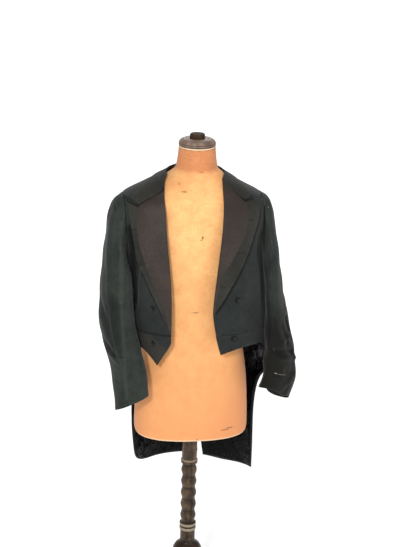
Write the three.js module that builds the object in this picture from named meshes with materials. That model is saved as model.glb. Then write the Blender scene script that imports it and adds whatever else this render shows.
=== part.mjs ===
// A double-breasted evening tailcoat worn on a limbless dress form.
// Millimetres, +Z up. The front faces -Y and the wearer's left is +X.
// The origin is the centre of the stand's underside.
//
// The coat hangs on one smooth body shape, given by horizontal sections. Every body
// panel is a patch of that shape: "turn" is the angle from the centre front round to
// the centre back (180 degrees), and "height" is Z. Lapels, collar, linings and
// buttons use the same shape, moved out or in. Sleeves are tubes through rings.

import * as THREE from 'three';

// ---- driving sizes ----
const CLOTH = 1.8; // wool with its canvas
const LINING = 1.0;
const SILK = 1.0;
const SEAM = 0.3; // gap between neighbouring pieces
const LAPEL_LIFT = 1.7; // clearance under lapel and collar
const WAIST = 950; // height of the waist seam
const UNDERARM = 1160; // lowest point of the armhole
const SHOULDER_TIP = 1327; // top of the armhole
const NECK_SIDE = 1380; // neckline where the shoulder seam meets it
const NECK_BACK = 1386; // neckline at the centre back
const SIDE_SEAM = 90; // turn of the seam under the arm
const SKIRT_START = 100; // turn where the front ends and the tail begins
const FRONT_BUTTON = { radius: 7.5, thick: 4.5 };
const BACK_BUTTON = { radius: 9, thick: 5 };

const POST_RADIUS = 22.5;
const TORSO_BOTTOM = 597;
const TORSO_TOP = 1459;
const BASE_RADIUS = 190;
const HUB_TOP = 232;

const SIDES = { right: -1, left: 1 };
const radians = THREE.MathUtils.degToRad;

const cloth = new THREE.MeshStandardMaterial({ color: 0x2c3331, roughness: 0.85, metalness: 0 });
const silk = new THREE.MeshStandardMaterial({ color: 0x3f3532, roughness: 0.55, metalness: 0 });
const satin = new THREE.MeshStandardMaterial({ color: 0x0c0c10, roughness: 0.35, metalness: 0 });
const canvas = new THREE.MeshStandardMaterial({ color: 0xf0be82, roughness: 0.8, metalness: 0 });
const darkWood = new THREE.MeshStandardMaterial({ color: 0x4a4038, roughness: 0.45, metalness: 0 });
const capWood = new THREE.MeshStandardMaterial({ color: 0x75665a, roughness: 0.5, metalness: 0 });

const coat = new THREE.Group();
coat.name = 'tailcoat_on_dress_form';

function add(name, geometry, material) {
  const mesh = new THREE.Mesh(geometry, material);
  mesh.name = name;
  coat.add(mesh);
  return mesh;
}

// ---- tables read as smooth curves ----

// A curve through rows sorted by one column, without overshoot between them.
function smoothCurve(rows, keyColumn, valueColumn) {
  const sorted = [...rows].sort((a, b) => a[keyColumn] - b[keyColumn]);
  const keys = sorted.map((row) => row[keyColumn]);
  const values = sorted.map((row) => row[valueColumn]);
  const last = keys.length - 1;
  const steps = keys.slice(1).map((key, i) => (values[i + 1] - values[i]) / (key - keys[i]));
  const slopes = keys.map((_, i) => {
    if (i === 0) return steps[0];
    if (i === last) return steps[last - 1];
    const [before, after] = [steps[i - 1], steps[i]];
    return before * after <= 0 ? 0 : (2 * before * after) / (before + after);
  });
  return (key) => {
    const k = THREE.MathUtils.clamp(key, keys[0], keys[last]);
    let i = 0;
    while (i < last - 1 && k > keys[i + 1]) i += 1;
    const span = keys[i + 1] - keys[i];
    const t = (k - keys[i]) / span;
    const t2 = t * t;
    const t3 = t2 * t;
    return (
      values[i] * (2 * t3 - 3 * t2 + 1) +
      values[i + 1] * (3 * t2 - 2 * t3) +
      span * (slopes[i] * (t3 - 2 * t2 + t) + slopes[i + 1] * (t3 - t2))
    );
  };
}

const curves = (rows, keyColumn, columns) =>
  Object.fromEntries(columns.map((column) => [column, smoothCurve(rows, keyColumn, column)]));

// ---- the coat's body shape ----

const BODY_ROWS = [
  { height: 1420, right: 66, left: 64, front: 52, back: 66, square: 2.05 },
  { height: 1405, right: 72, left: 67, front: 56, back: 69, square: 2.05 },
  { height: 1392, right: 81, left: 73, front: 60, back: 73, square: 2.1 },
  { height: 1375, right: 111, left: 97, front: 76, back: 86, square: 2.2 },
  { height: 1355, right: 149, left: 131, front: 92, back: 102, square: 2.3 },
  { height: 1336, right: 187, left: 165, front: 106, back: 114, square: 2.35 },
  { height: 1324, right: 211, left: 189, front: 114, back: 120, square: 2.4 },
  { height: 1308, right: 222, left: 200, front: 121, back: 125, square: 2.4 },
  { height: 1285, right: 224, left: 202, front: 128, back: 129, square: 2.4 },
  { height: 1240, right: 214, left: 196, front: 137, back: 133, square: 2.4 },
  { height: 1200, right: 203, left: 190, front: 143, back: 132, square: 2.4 },
  { height: 1165, right: 194, left: 185, front: 147, back: 129, square: 2.4 },
  { height: 1090, right: 190.5, left: 197, front: 153, back: 120, square: 2.4 },
  { height: 1000, right: 188, left: 204.5, front: 156, back: 112, square: 2.4 },
  { height: 935, right: 192, left: 209, front: 156, back: 114, square: 2.4 },
  { height: 870, right: 191, left: 229, front: 152, back: 122, square: 2.4 },
  { height: 800, right: 186, left: 234, front: 150, back: 130, square: 2.4 },
  { height: 720, right: 180, left: 211, front: 150, back: 138, square: 2.4 },
  { height: 640, right: 178, left: 205, front: 150, back: 142, square: 2.4 },
  { height: 560, right: 176, left: 207, front: 150, back: 146, square: 2.4 },
  { height: 430, right: 160, left: 211, front: 150, back: 150, square: 2.4 },
];
const body = curves(BODY_ROWS, 'height', ['right', 'left', 'front', 'back', 'square']);
const halfWidth = (side, height) => (side < 0 ? body.right(height) : body.left(height));

// 1 on the body shape, less inside it.
function bodyLevel(point) {
  const across = Math.abs(point.x) / halfWidth(point.x, point.z);
  const deep = Math.abs(point.y) / (point.y < 0 ? body.front(point.z) : body.back(point.z));
  return across ** body.square(point.z) + deep ** body.square(point.z);
}

function bodyNormal(point) {
  const step = 0.5;
  const slope = (axis) => {
    const ahead = point.clone();
    const behind = point.clone();
    ahead[axis] += step;
    behind[axis] -= step;
    return bodyLevel(ahead) - bodyLevel(behind);
  };
  return new THREE.Vector3(slope('x'), slope('y'), slope('z')).normalize();
}

// A turn past 180 degrees carries on round to the other side.
function bodyPoint(side, turn, height) {
  const past = turn > 180;
  const angle = radians(past ? 360 - turn : turn);
  const power = 2 / body.square(height);
  const across = Math.sin(angle) ** power * halfWidth(past ? -side : side, height);
  const deep = Math.abs(Math.cos(angle)) ** power;
  const y = Math.cos(angle) > 0 ? -deep * body.front(height) : deep * body.back(height);
  return new THREE.Vector3((past ? -side : side) * across, y, height);
}

// The turn of a place on the front, from its distance off the centre line.
function turnAt(side, across, height) {
  const share = Math.min(1, across / halfWidth(side, height));
  return THREE.MathUtils.radToDeg(Math.asin(share ** (body.square(height) / 2)));
}

// ---- the armhole: a slanted plane that the body and the sleeve both stop at ----

const armholeOut = {};
for (const side of Object.values(SIDES)) {
  const low = halfWidth(side, UNDERARM);
  const lean = (halfWidth(side, SHOULDER_TIP) - low) / (SHOULDER_TIP - UNDERARM);
  armholeOut[side] = (height) => low + lean * (height - UNDERARM);
}

function bisect(low, high, isPast) {
  let [from, to] = [low, high];
  for (let i = 0; i < 40; i += 1) {
    const middle = (from + to) / 2;
    if (isPast(middle)) to = middle;
    else from = middle;
  }
  return (from + to) / 2;
}

// Turn of the armhole's front edge at a height; the back edge is 180 less it.
const armholeTurn = (side, height) => turnAt(side, armholeOut[side](height), height);

// Height of the armhole's lower edge at a turn near the side.
function armholeHeight(side, turn) {
  if (Math.abs(turn - 90) < 0.01) return UNDERARM;
  const sine = Math.sin(radians(turn));
  return bisect(UNDERARM, 1285, (height) => {
    const across = sine ** (2 / body.square(height)) * halfWidth(side, height);
    return across > armholeOut[side](height);
  });
}

// ---- cloth walls ----

// A closed wall between an outer and an inner grid of points.
function wallBetween(outer, inner) {
  const rows = outer.length;
  const columns = outer[0].length;
  const positions = [...outer.flat(), ...inner.flat()].flatMap((point) => point.toArray());
  const out = (i, j) => i * columns + j;
  const into = (i, j) => rows * columns + i * columns + j;
  const faces = [];
  const quad = (a, b, c, d) => faces.push(a, b, c, a, c, d);
  for (let i = 0; i < rows - 1; i += 1) {
    for (let j = 0; j < columns - 1; j += 1) {
      quad(out(i, j), out(i, j + 1), out(i + 1, j + 1), out(i + 1, j));
      quad(into(i, j), into(i + 1, j), into(i + 1, j + 1), into(i, j + 1));
    }
    const end = columns - 1;
    quad(out(i, 0), out(i + 1, 0), into(i + 1, 0), into(i, 0));
    quad(out(i, end), into(i, end), into(i + 1, end), out(i + 1, end));
  }
  for (let j = 0; j < columns - 1; j += 1) {
    const end = rows - 1;
    quad(out(0, j), into(0, j), into(0, j + 1), out(0, j + 1));
    quad(out(end, j), out(end, j + 1), into(end, j + 1), into(end, j));
  }
  return facingOut(positions, faces);
}

// Turns a closed mesh so that its faces point outwards.
function facingOut(positions, faces) {
  const corner = (index) => new THREE.Vector3().fromArray(positions, index * 3);
  let volume = 0;
  for (let f = 0; f < faces.length; f += 3) {
    const [a, b, c] = [corner(faces[f]), corner(faces[f + 1]), corner(faces[f + 2])];
    volume += a.dot(b.cross(c));
  }
  if (volume < 0) faces.reverse();
  const geometry = new THREE.BufferGeometry();
  geometry.setAttribute('position', new THREE.Float32BufferAttribute(positions, 3));
  geometry.setIndex(faces);
  geometry.computeVertexNormals();
  return geometry;
}

// Draws the four edges of a grid in, along the cloth, by the given distances.
function drawIn(points, { start = 0, end = 0, bottom = 0, top = 0 }) {
  const toward = (from, to, distance) =>
    from.clone().add(to.clone().sub(from).setLength(distance));
  const rows = points.map((row) => {
    const last = row.length - 1;
    const copy = row.map((point) => point.clone());
    if (start) copy[0] = toward(row[0], row[1], start);
    if (end) copy[last] = toward(row[last], row[last - 1], end);
    return copy;
  });
  const last = rows.length - 1;
  const bottomRow = rows[0].map((p, j) => (bottom ? toward(p, rows[1][j], bottom) : p));
  const topRow = rows[last].map((p, j) => (top ? toward(p, rows[last - 1][j], top) : p));
  return [bottomRow, ...rows.slice(1, last), topRow];
}

const HALF_SEAM = { start: SEAM / 2, end: SEAM / 2, bottom: SEAM / 2, top: SEAM / 2 };

// A wall on the body shape. Each grid place is { turn, height }; lift moves the wall's
// outer face off the shape, and edges draws its edges in.
function bodyWall(side, grid, { lift = 0, thick = CLOTH, edges = HALF_SEAM } = {}) {
  const places = grid.map((row) =>
    row.map(({ turn, height }) => {
      const point = bodyPoint(side, turn, height);
      return { point, normal: bodyNormal(point) };
    }),
  );
  const moved = (distance) =>
    places.map((row) => row.map((p) => p.point.clone().addScaledVector(p.normal, distance)));
  return wallBetween(drawIn(moved(lift), edges), drawIn(moved(lift - thick), edges));
}

const shares = (count) => Array.from({ length: count + 1 }, (_, i) => i / count);
const { lerp } = THREE.MathUtils;

// ---- where the panels meet ----

const BODICE_SHARES = [0, 0.16, 0.33, 0.5, 0.68, 0.84, 1]; // waist to underarm
const FRONT_ARMHOLE_HEIGHTS = [1185, 1212, 1240, 1268, 1292, 1310, 1321];
const BACK_ARMHOLE_HEIGHTS = [1288, 1303, 1317];
const SHOULDER_HEIGHTS = [SHOULDER_TIP, 1339, 1354, 1367, 1374, NECK_SIDE];
const TAIL_HEIGHTS = [905, 850, 790, 720, 650, 580, 510];

// Seam between side body and back, running down between skirt and back.
const BACK_SEAM_ROWS = [
  { height: 1275, right: 118, left: 118 },
  { height: 1200, right: 128, left: 128 },
  { height: 1100, right: 142, left: 142 },
  { height: 1000, right: 151, left: 151 },
  { height: WAIST, right: 153, left: 153 },
  { height: 700, right: 157, left: 150 },
  { height: 440, right: 163, left: 146 },
];
const BACK_SEAM_TOP = 118;

// Centre back edge: closed down to the waist, then open as a vent that swings left.
const VENT_ROWS = [
  { height: 1392, right: 180, left: 180 },
  { height: 900, right: 180, left: 180 },
  { height: 760, right: 181.5, left: 177.5 },
  { height: 600, right: 185, left: 173 },
  { height: 440, right: 189, left: 167 },
];

// Front edge of the tails.
const TAIL_FRONT_ROWS = [
  { height: WAIST, turn: SKIRT_START },
  { height: 905, turn: SKIRT_START },
  { height: 850, turn: 104 },
  { height: 760, turn: 106 },
  { height: 640, turn: 107 },
  { height: 440, turn: 109.5 },
];

const TAIL_HEM = {
  right: [
    { turn: 109.5, height: 482 },
    { turn: 122, height: 457 },
    { turn: 140, height: 447 },
    { turn: 163, height: 448 },
    { turn: 189, height: 452 },
  ],
  left: [
    { turn: 109.5, height: 432 },
    { turn: 146, height: 427 },
    { turn: 167, height: 438 },
  ],
};

// The fold of the lapel, which is the front edge below it: distance from the centre.
const OPENING_ROWS = {
  right: [
    { height: WAIST, across: 79 },
    { height: 1016, across: 79.5 },
    { height: 1060, across: 80 },
    { height: 1154, across: 87 },
    { height: 1229, across: 94 },
    { height: 1300, across: 97.5 },
    { height: 1336, across: 99.5 },
    { height: 1374, across: 95.5 },
    { height: NECK_SIDE, across: 94 },
  ],
  left: [
    { height: WAIST, across: 47 },
    { height: 972, across: 42.5 },
    { height: 1015, across: 35.5 },
    { height: 1059, across: 38 },
    { height: 1102, across: 42.5 },
    { height: 1178, across: 51 },
    { height: 1253, across: 59 },
    { height: 1328, across: 63.5 },
    { height: 1355, across: 64 },
    { height: NECK_SIDE, across: 66 },
  ],
};

// The point below the waist seam: where each line of cloth starts at the seam, and
// where it ends at the hem.
const FRONT_HEM = {
  right: [
    { seamTurn: 20.3, turn: 20.2, height: 926 },
    { seamTurn: 22.5, turn: 24.3, height: 903 },
    { seamTurn: 25.5, turn: 29, height: 879 },
    { seamTurn: 30, turn: 33.4, height: 856 },
    { seamTurn: 38, turn: 40, height: 880 },
    { seamTurn: 47, turn: 48, height: 897 },
    { seamTurn: 58, turn: 58, height: 908 },
    { seamTurn: 72, turn: 72, height: 908 },
    { seamTurn: 86, turn: 86, height: 906 },
    { seamTurn: SKIRT_START, turn: SKIRT_START, height: 905 },
  ],
  left: [
    { seamTurn: 10.8, turn: 11.3, height: 936 },
    { seamTurn: 13, turn: 12.2, height: 914 },
    { seamTurn: 16, turn: 13.2, height: 891 },
    { seamTurn: 20, turn: 18.5, height: 898 },
    { seamTurn: 26, turn: 25, height: 904 },
    { seamTurn: 37, turn: 37, height: 909 },
    { seamTurn: 48, turn: 48, height: 908 },
    { seamTurn: 60, turn: 60, height: 906 },
    { seamTurn: 74, turn: 74, height: 905 },
    { seamTurn: 87, turn: 87, height: 905 },
    { seamTurn: SKIRT_START, turn: SKIRT_START, height: 905 },
  ],
};

for (const [name, side] of Object.entries(SIDES)) {
  const opening = smoothCurve(OPENING_ROWS[name], 'height', 'across');
  const backSeam = smoothCurve(BACK_SEAM_ROWS, 'height', name);
  const vent = smoothCurve(VENT_ROWS, 'height', name);
  const tailFront = smoothCurve(TAIL_FRONT_ROWS, 'height', 'turn');
  const hem = smoothCurve(TAIL_HEM[name], 'turn', 'height');
  const shoulderTurn = (height) =>
    lerp(90, 95, (height - SHOULDER_TIP) / (NECK_SIDE - SHOULDER_TIP));
  const backArmholeTop = armholeHeight(side, BACK_SEAM_TOP);

  // Forepart: from the front edge to the side seam, the armhole and the shoulder seam.
  const foreHeights = [
    ...BODICE_SHARES.map((share) => lerp(WAIST, UNDERARM, share)),
    ...FRONT_ARMHOLE_HEIGHTS,
    ...SHOULDER_HEIGHTS,
  ];
  const foreEnd = (height) => {
    if (height <= UNDERARM) return SIDE_SEAM;
    return height < SHOULDER_TIP ? armholeTurn(side, height) : shoulderTurn(height);
  };
  const foreGrid = foreHeights.map((height) => {
    const from = turnAt(side, opening(height), height);
    return shares(9).map((t) => ({ turn: lerp(from, foreEnd(height), t), height }));
  });
  add(`forepart_${name}`, bodyWall(side, foreGrid), cloth);

  // Side body: from the side seam to the curved back seam, up to the armhole.
  const sideGrid = BODICE_SHARES.map((share) =>
    shares(5).map((t) => {
      const topTurn = lerp(SIDE_SEAM, BACK_SEAM_TOP, t);
      const height = lerp(WAIST, armholeHeight(side, topTurn), share);
      const backEdge = lerp(WAIST, backArmholeTop, share);
      return { turn: lerp(SIDE_SEAM, backSeam(backEdge), t), height };
    }),
  );
  add(`side_body_${name}`, bodyWall(side, sideGrid), cloth);

  // Back: cut in one with the middle of its tail, with no seam at the waist.
  const backTop = [
    ...BODICE_SHARES.map((share) => lerp(WAIST, backArmholeTop, share)),
    ...BACK_ARMHOLE_HEIGHTS,
    ...SHOULDER_HEIGHTS,
  ];
  const backStart = (height) => {
    if (height <= backArmholeTop + 0.01) return backSeam(height);
    return 180 - (height < SHOULDER_TIP ? armholeTurn(side, height) : 180 - shoulderTurn(height));
  };
  const backBodice = backTop.map((height) =>
    shares(8).map((t) => {
      const rise = Math.max(0, (height - SHOULDER_TIP) / (NECK_SIDE - SHOULDER_TIP));
      const lifted = height + rise * (NECK_BACK - NECK_SIDE) * Math.min(1, t * 2);
      return { turn: lerp(backStart(height), vent(height), t), height: lifted };
    }),
  );
  const tailRows = (from, to, columns) => [
    shares(columns).map((t) => {
      const turn = lerp(from(440), to(440), t);
      return { turn, height: hem(turn) };
    }),
    ...[...TAIL_HEIGHTS].reverse().map((height) =>
      shares(columns).map((t) => ({ turn: lerp(from(height), to(height), t), height })),
    ),
  ];
  const backTail = tailRows(backSeam, vent, 8);
  add(`back_${name}`, bodyWall(side, [...backTail, ...backBodice]), cloth);

  // Tail skirt: hangs from the waist seam and joins the back.
  const skirtGrid = [
    ...tailRows(tailFront, backSeam, 6),
    shares(6).map((t) => ({ turn: lerp(SKIRT_START, backSeam(WAIST), t), height: WAIST })),
  ];
  add(`skirt_${name}`, bodyWall(side, skirtGrid), cloth);

  // Tail linings: the same cloth lines, inside the skirt and the back.
  const liningLift = -CLOTH - 0.4;
  const liningEdges = { start: 6, end: SEAM / 2, bottom: 8, top: 2 };
  const liningWall = (grid, edges) => bodyWall(side, grid, { lift: liningLift, thick: LINING, edges });
  add(`skirt_lining_${name}`, liningWall(skirtGrid, liningEdges), satin);
  const backLiningGrid = [...backTail, backBodice[0]];
  const backLiningEdges = { ...liningEdges, start: SEAM / 2, end: 6 };
  add(`back_lining_${name}`, liningWall(backLiningGrid, backLiningEdges), satin);

  // Front point below the waist seam.
  const strapGrid = [0, 0.34, 0.67, 1].map((share) =>
    FRONT_HEM[name].map((row) => ({
      turn: lerp(row.turn, row.seamTurn, share),
      height: lerp(row.height, WAIST, share),
    })),
  );
  const strapEdges = { ...HALF_SEAM, top: SEAM };
  add(`front_point_${name}`, bodyWall(side, strapGrid, { edges: strapEdges }), cloth);
}

// ---- lapels ----

// Each row runs from the fold to the silk's edge and on to the lapel's edge, as
// distances from the centre line and heights.
const LAPEL_ROWS = {
  right: [
    { fold: 967, silk: 87, silkHeight: 973, edge: 84, edgeHeight: 973 },
    { fold: 1010, silk: 95, silkHeight: 1012, edge: 107, edgeHeight: 1017 },
    { fold: 1050, silk: 112, silkHeight: 1058, edge: 130, edgeHeight: 1066 },
    { fold: 1095, silk: 134, silkHeight: 1112, edge: 152, edgeHeight: 1118 },
    { fold: 1145, silk: 152, silkHeight: 1160, edge: 169, edgeHeight: 1150 },
    { fold: 1195, silk: 166, silkHeight: 1210, edge: 177, edgeHeight: 1200 },
    { fold: 1245, silk: 174, silkHeight: 1256, edge: 185, edgeHeight: 1246 },
    { fold: 1290, silk: 175, silkHeight: 1290, edge: 193, edgeHeight: 1288 },
    { fold: 1324, silk: 172, silkHeight: 1305, edge: 198, edgeHeight: 1312 },
    { fold: 1352, silk: 169, silkHeight: 1313, edge: 199, edgeHeight: 1321.5 },
  ],
  left: [
    { fold: 1016, silk: 42, silkHeight: 1022, edge: 42, edgeHeight: 1022 },
    { fold: 1050, silk: 44, silkHeight: 1056, edge: 62, edgeHeight: 1052 },
    { fold: 1090, silk: 56, silkHeight: 1120, edge: 82, edgeHeight: 1085 },
    { fold: 1130, silk: 80, silkHeight: 1157, edge: 111, edgeHeight: 1133 },
    { fold: 1170, silk: 100, silkHeight: 1193, edge: 133, edgeHeight: 1178 },
    { fold: 1215, silk: 121, silkHeight: 1228, edge: 149, edgeHeight: 1218 },
    { fold: 1260, silk: 131, silkHeight: 1266, edge: 163, edgeHeight: 1264 },
    { fold: 1304, silk: 136, silkHeight: 1293, edge: 169, edgeHeight: 1295 },
    { fold: 1340, silk: 130, silkHeight: 1312, edge: 172, edgeHeight: 1311 },
    { fold: 1374, silk: 121, silkHeight: 1325, edge: 173, edgeHeight: 1321 },
  ],
};
// How far the lapel's top edge dips below a straight line, by its place from the fold.
const GORGE_DIP = { right: [0, 1, 2, 2, 1, 0, -4, -2], left: [0, 2, 2, 1, 0, 0, -6, -3] };
const SILK_COLUMNS = 5;
const BORDER_COLUMNS = 2;

// A row halfway between each two rows of a table.
function withHalfRows(rows) {
  return rows.flatMap((row, i) => {
    if (i === 0) return [row];
    const middle = Object.fromEntries(
      Object.keys(row).map((column) => [column, (row[column] + rows[i - 1][column]) / 2]),
    );
    return [middle, row];
  });
}

for (const [name, side] of Object.entries(SIDES)) {
  const opening = smoothCurve(OPENING_ROWS[name], 'height', 'across');
  const rows = LAPEL_ROWS[name];
  const place = (across, height) => ({ turn: turnAt(side, across, height), height });
  const fullRows = withHalfRows(rows);
  const grid = fullRows.map((row, i) => {
    const fold = place(opening(row.fold), row.fold);
    const silkEdge = place(row.silk, row.silkHeight);
    const outerEdge = place(row.edge, row.edgeHeight);
    const between = (a, b, t) => ({
      turn: lerp(a.turn, b.turn, t),
      height: lerp(a.height, b.height, t),
    });
    const line = [
      ...shares(SILK_COLUMNS).map((t) => between(fold, silkEdge, t)),
      ...shares(BORDER_COLUMNS).slice(1).map((t) => between(silkEdge, outerEdge, t)),
    ];
    const isTop = i === fullRows.length - 1;
    return isTop ? line.map((p, j) => ({ ...p, height: p.height - GORGE_DIP[name][j] })) : line;
  });
  const lapelLift = LAPEL_LIFT + CLOTH;
  add(`lapel_${name}`, bodyWall(side, grid, { lift: lapelLift }), cloth);
  const silkGrid = grid.map((line) => line.slice(0, SILK_COLUMNS + 1));
  const silkLift = lapelLift + 0.4 + SILK;
  const silkEdges = { start: 0.5, end: 0.5, bottom: 0.5, top: 0.5 };
  add(`lapel_silk_${name}`, bodyWall(side, silkGrid, { lift: silkLift, thick: SILK, edges: silkEdges }), silk);
}

// ---- collar ----

// Rows run from the gorge round to the centre back. The roll is the collar's fold at
// the neck, and the edge is its free edge on the shoulders.
const COLLAR_ROWS = {
  right: [
    { rollTurn: 38.5, rollHeight: 1358, edgeTurn: 38.4, edgeHeight: 1348.5 },
    { rollTurn: 43, rollHeight: 1365, edgeTurn: 41.4, edgeHeight: 1336.5 },
    { rollTurn: 48, rollHeight: 1371, edgeTurn: 44.7, edgeHeight: 1325 },
    { rollTurn: 53, rollHeight: 1376, edgeTurn: 48.4, edgeHeight: 1316.5 },
    { rollTurn: 58, rollHeight: 1380, edgeTurn: 53, edgeHeight: 1321 },
    { rollTurn: 62, rollHeight: 1382.5, edgeTurn: 60, edgeHeight: 1325.5 },
    { rollTurn: 65, rollHeight: 1384.5, edgeTurn: 64.7, edgeHeight: 1327 },
    { rollTurn: 69, rollHeight: 1386, edgeTurn: 70, edgeHeight: 1336 },
    { rollTurn: 76, rollHeight: 1387, edgeTurn: 79, edgeHeight: 1349 },
    { rollTurn: 90, rollHeight: 1388.5, edgeTurn: 92, edgeHeight: 1364 },
    { rollTurn: 105, rollHeight: 1390.5, edgeTurn: 106, edgeHeight: 1371 },
    { rollTurn: 120, rollHeight: 1392.5, edgeTurn: 120, edgeHeight: 1374 },
    { rollTurn: 140, rollHeight: 1395, edgeTurn: 140, edgeHeight: 1373 },
    { rollTurn: 160, rollHeight: 1396.5, edgeTurn: 160, edgeHeight: 1371 },
    { rollTurn: 180, rollHeight: 1397, edgeTurn: 180, edgeHeight: 1370 },
  ],
  left: [
    { rollTurn: 48, rollHeight: 1379, edgeTurn: 42.5, edgeHeight: 1370 },
    { rollTurn: 53, rollHeight: 1381, edgeTurn: 41, edgeHeight: 1352 },
    { rollTurn: 58, rollHeight: 1383, edgeTurn: 39.7, edgeHeight: 1337 },
    { rollTurn: 62, rollHeight: 1385, edgeTurn: 39.2, edgeHeight: 1328.5 },
    { rollTurn: 66, rollHeight: 1386, edgeTurn: 44.5, edgeHeight: 1329 },
    { rollTurn: 70, rollHeight: 1386.5, edgeTurn: 51, edgeHeight: 1331 },
    { rollTurn: 74, rollHeight: 1387, edgeTurn: 57, edgeHeight: 1332.5 },
    { rollTurn: 79, rollHeight: 1388, edgeTurn: 64, edgeHeight: 1340 },
    { rollTurn: 85, rollHeight: 1388.5, edgeTurn: 76, edgeHeight: 1354 },
    { rollTurn: 95, rollHeight: 1389, edgeTurn: 92, edgeHeight: 1366 },
    { rollTurn: 107, rollHeight: 1391, edgeTurn: 106, edgeHeight: 1372 },
    { rollTurn: 120, rollHeight: 1392.5, edgeTurn: 120, edgeHeight: 1374 },
    { rollTurn: 140, rollHeight: 1395, edgeTurn: 140, edgeHeight: 1373 },
    { rollTurn: 160, rollHeight: 1396.5, edgeTurn: 160, edgeHeight: 1371 },
    { rollTurn: 180, rollHeight: 1397, edgeTurn: 180, edgeHeight: 1370 },
  ],
};

// On the left of the body a place is given as a turn beyond 180, so that one grid can
// run from the right gorge round the back to the left one.
const roundTheBack = (row) => ({
  ...row,
  rollTurn: 360 - row.rollTurn,
  edgeTurn: 360 - row.edgeTurn,
});
const collarRows = [
  ...COLLAR_ROWS.right,
  ...COLLAR_ROWS.left.slice(0, -1).reverse().map(roundTheBack),
];
const collarGrid = collarRows.map((row) =>
  shares(6).map((t) => ({
    turn: lerp(row.rollTurn, row.edgeTurn, t),
    height: lerp(row.rollHeight, row.edgeHeight, t),
  })),
);
const collarEdges = { start: 0.5, end: 0.5, bottom: 0.5, top: 0.5 };
add(
  'collar_fall',
  bodyWall(SIDES.right, collarGrid, { lift: LAPEL_LIFT + CLOTH, edges: collarEdges }),
  cloth,
);

// The stand rises from the neckline to the roll, inside the fall.
const STAND_ROWS = [
  { turn: 72, neck: NECK_SIDE, roll: 1385.5 },
  { turn: 84, neck: NECK_SIDE, roll: 1387 },
  { turn: 95, neck: NECK_SIDE, roll: 1388.5 },
  { turn: 109, neck: 1382, roll: 1390 },
  { turn: 123, neck: 1384, roll: 1392 },
  { turn: 137.5, neck: NECK_BACK, roll: 1394 },
  { turn: 152, neck: NECK_BACK, roll: 1395.5 },
  { turn: 166, neck: NECK_BACK, roll: 1396 },
  { turn: 180, neck: NECK_BACK, roll: 1396.5 },
];
const standRows = [
  ...STAND_ROWS,
  ...STAND_ROWS.slice(0, -1).reverse().map((row) => ({ ...row, turn: 360 - row.turn })),
];
const standGrid = standRows.map((row) =>
  shares(3).map((t) => ({ turn: row.turn, height: lerp(row.neck, row.roll, t) })),
);
add(
  'collar_stand',
  bodyWall(SIDES.right, standGrid, { edges: { start: 2 * SEAM, end: SEAM, bottom: SEAM, top: SEAM } }),
  cloth,
);

// ---- sleeves ----

// Rings from the armhole down. Near the shoulder a ring leans on the underarm: its
// inner and outer ends are distances out from the middle of the coat, and heights. A
// lead bends its front edge in towards the chest.
const CAP_ROWS = {
  right: [
    { innerOut: 195, innerHeight: 1159.5, outerOut: 217, outerHeight: 1324, halfDeep: 71, forward: 2, lead: 0 },
    { innerOut: 195.3, innerHeight: 1158, outerOut: 228, outerHeight: 1317, halfDeep: 74, forward: 4, lead: 0 },
    { innerOut: 195.6, innerHeight: 1156.5, outerOut: 238, outerHeight: 1305, halfDeep: 76, forward: 6, lead: 0 },
    { innerOut: 195.9, innerHeight: 1155, outerOut: 246, outerHeight: 1284, halfDeep: 77, forward: 8, lead: 3 },
    { innerOut: 196, innerHeight: 1153, outerOut: 250.5, outerHeight: 1251, halfDeep: 77, forward: 10, lead: 6 },
    { innerOut: 196, innerHeight: 1150.5, outerOut: 254.5, outerHeight: 1216, halfDeep: 76, forward: 13, lead: 10 },
    { innerOut: 195.7, innerHeight: 1147, outerOut: 259.5, outerHeight: 1184, halfDeep: 75, forward: 16, lead: 13 },
    { innerOut: 195.3, innerHeight: 1141, outerOut: 264.5, outerHeight: 1150, halfDeep: 74, forward: 19, lead: 15 },
  ],
  left: [
    { innerOut: 186.5, innerHeight: 1159.5, outerOut: 195, outerHeight: 1324, halfDeep: 71, forward: 1 },
    { innerOut: 187, innerHeight: 1158, outerOut: 205, outerHeight: 1317.5, halfDeep: 75, forward: 3 },
    { innerOut: 187.5, innerHeight: 1156.5, outerOut: 213, outerHeight: 1305, halfDeep: 77, forward: 5 },
    { innerOut: 188, innerHeight: 1155, outerOut: 219, outerHeight: 1284, halfDeep: 78, forward: 7 },
    { innerOut: 188.7, innerHeight: 1153, outerOut: 225, outerHeight: 1250, halfDeep: 78, forward: 9 },
    { innerOut: 189.7, innerHeight: 1150.5, outerOut: 231, outerHeight: 1215, halfDeep: 78, forward: 12 },
    { innerOut: 191, innerHeight: 1147, outerOut: 237, outerHeight: 1181, halfDeep: 78, forward: 14 },
    { innerOut: 192.3, innerHeight: 1141, outerOut: 242, outerHeight: 1148, halfDeep: 78, forward: 16 },
  ],
};

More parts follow.
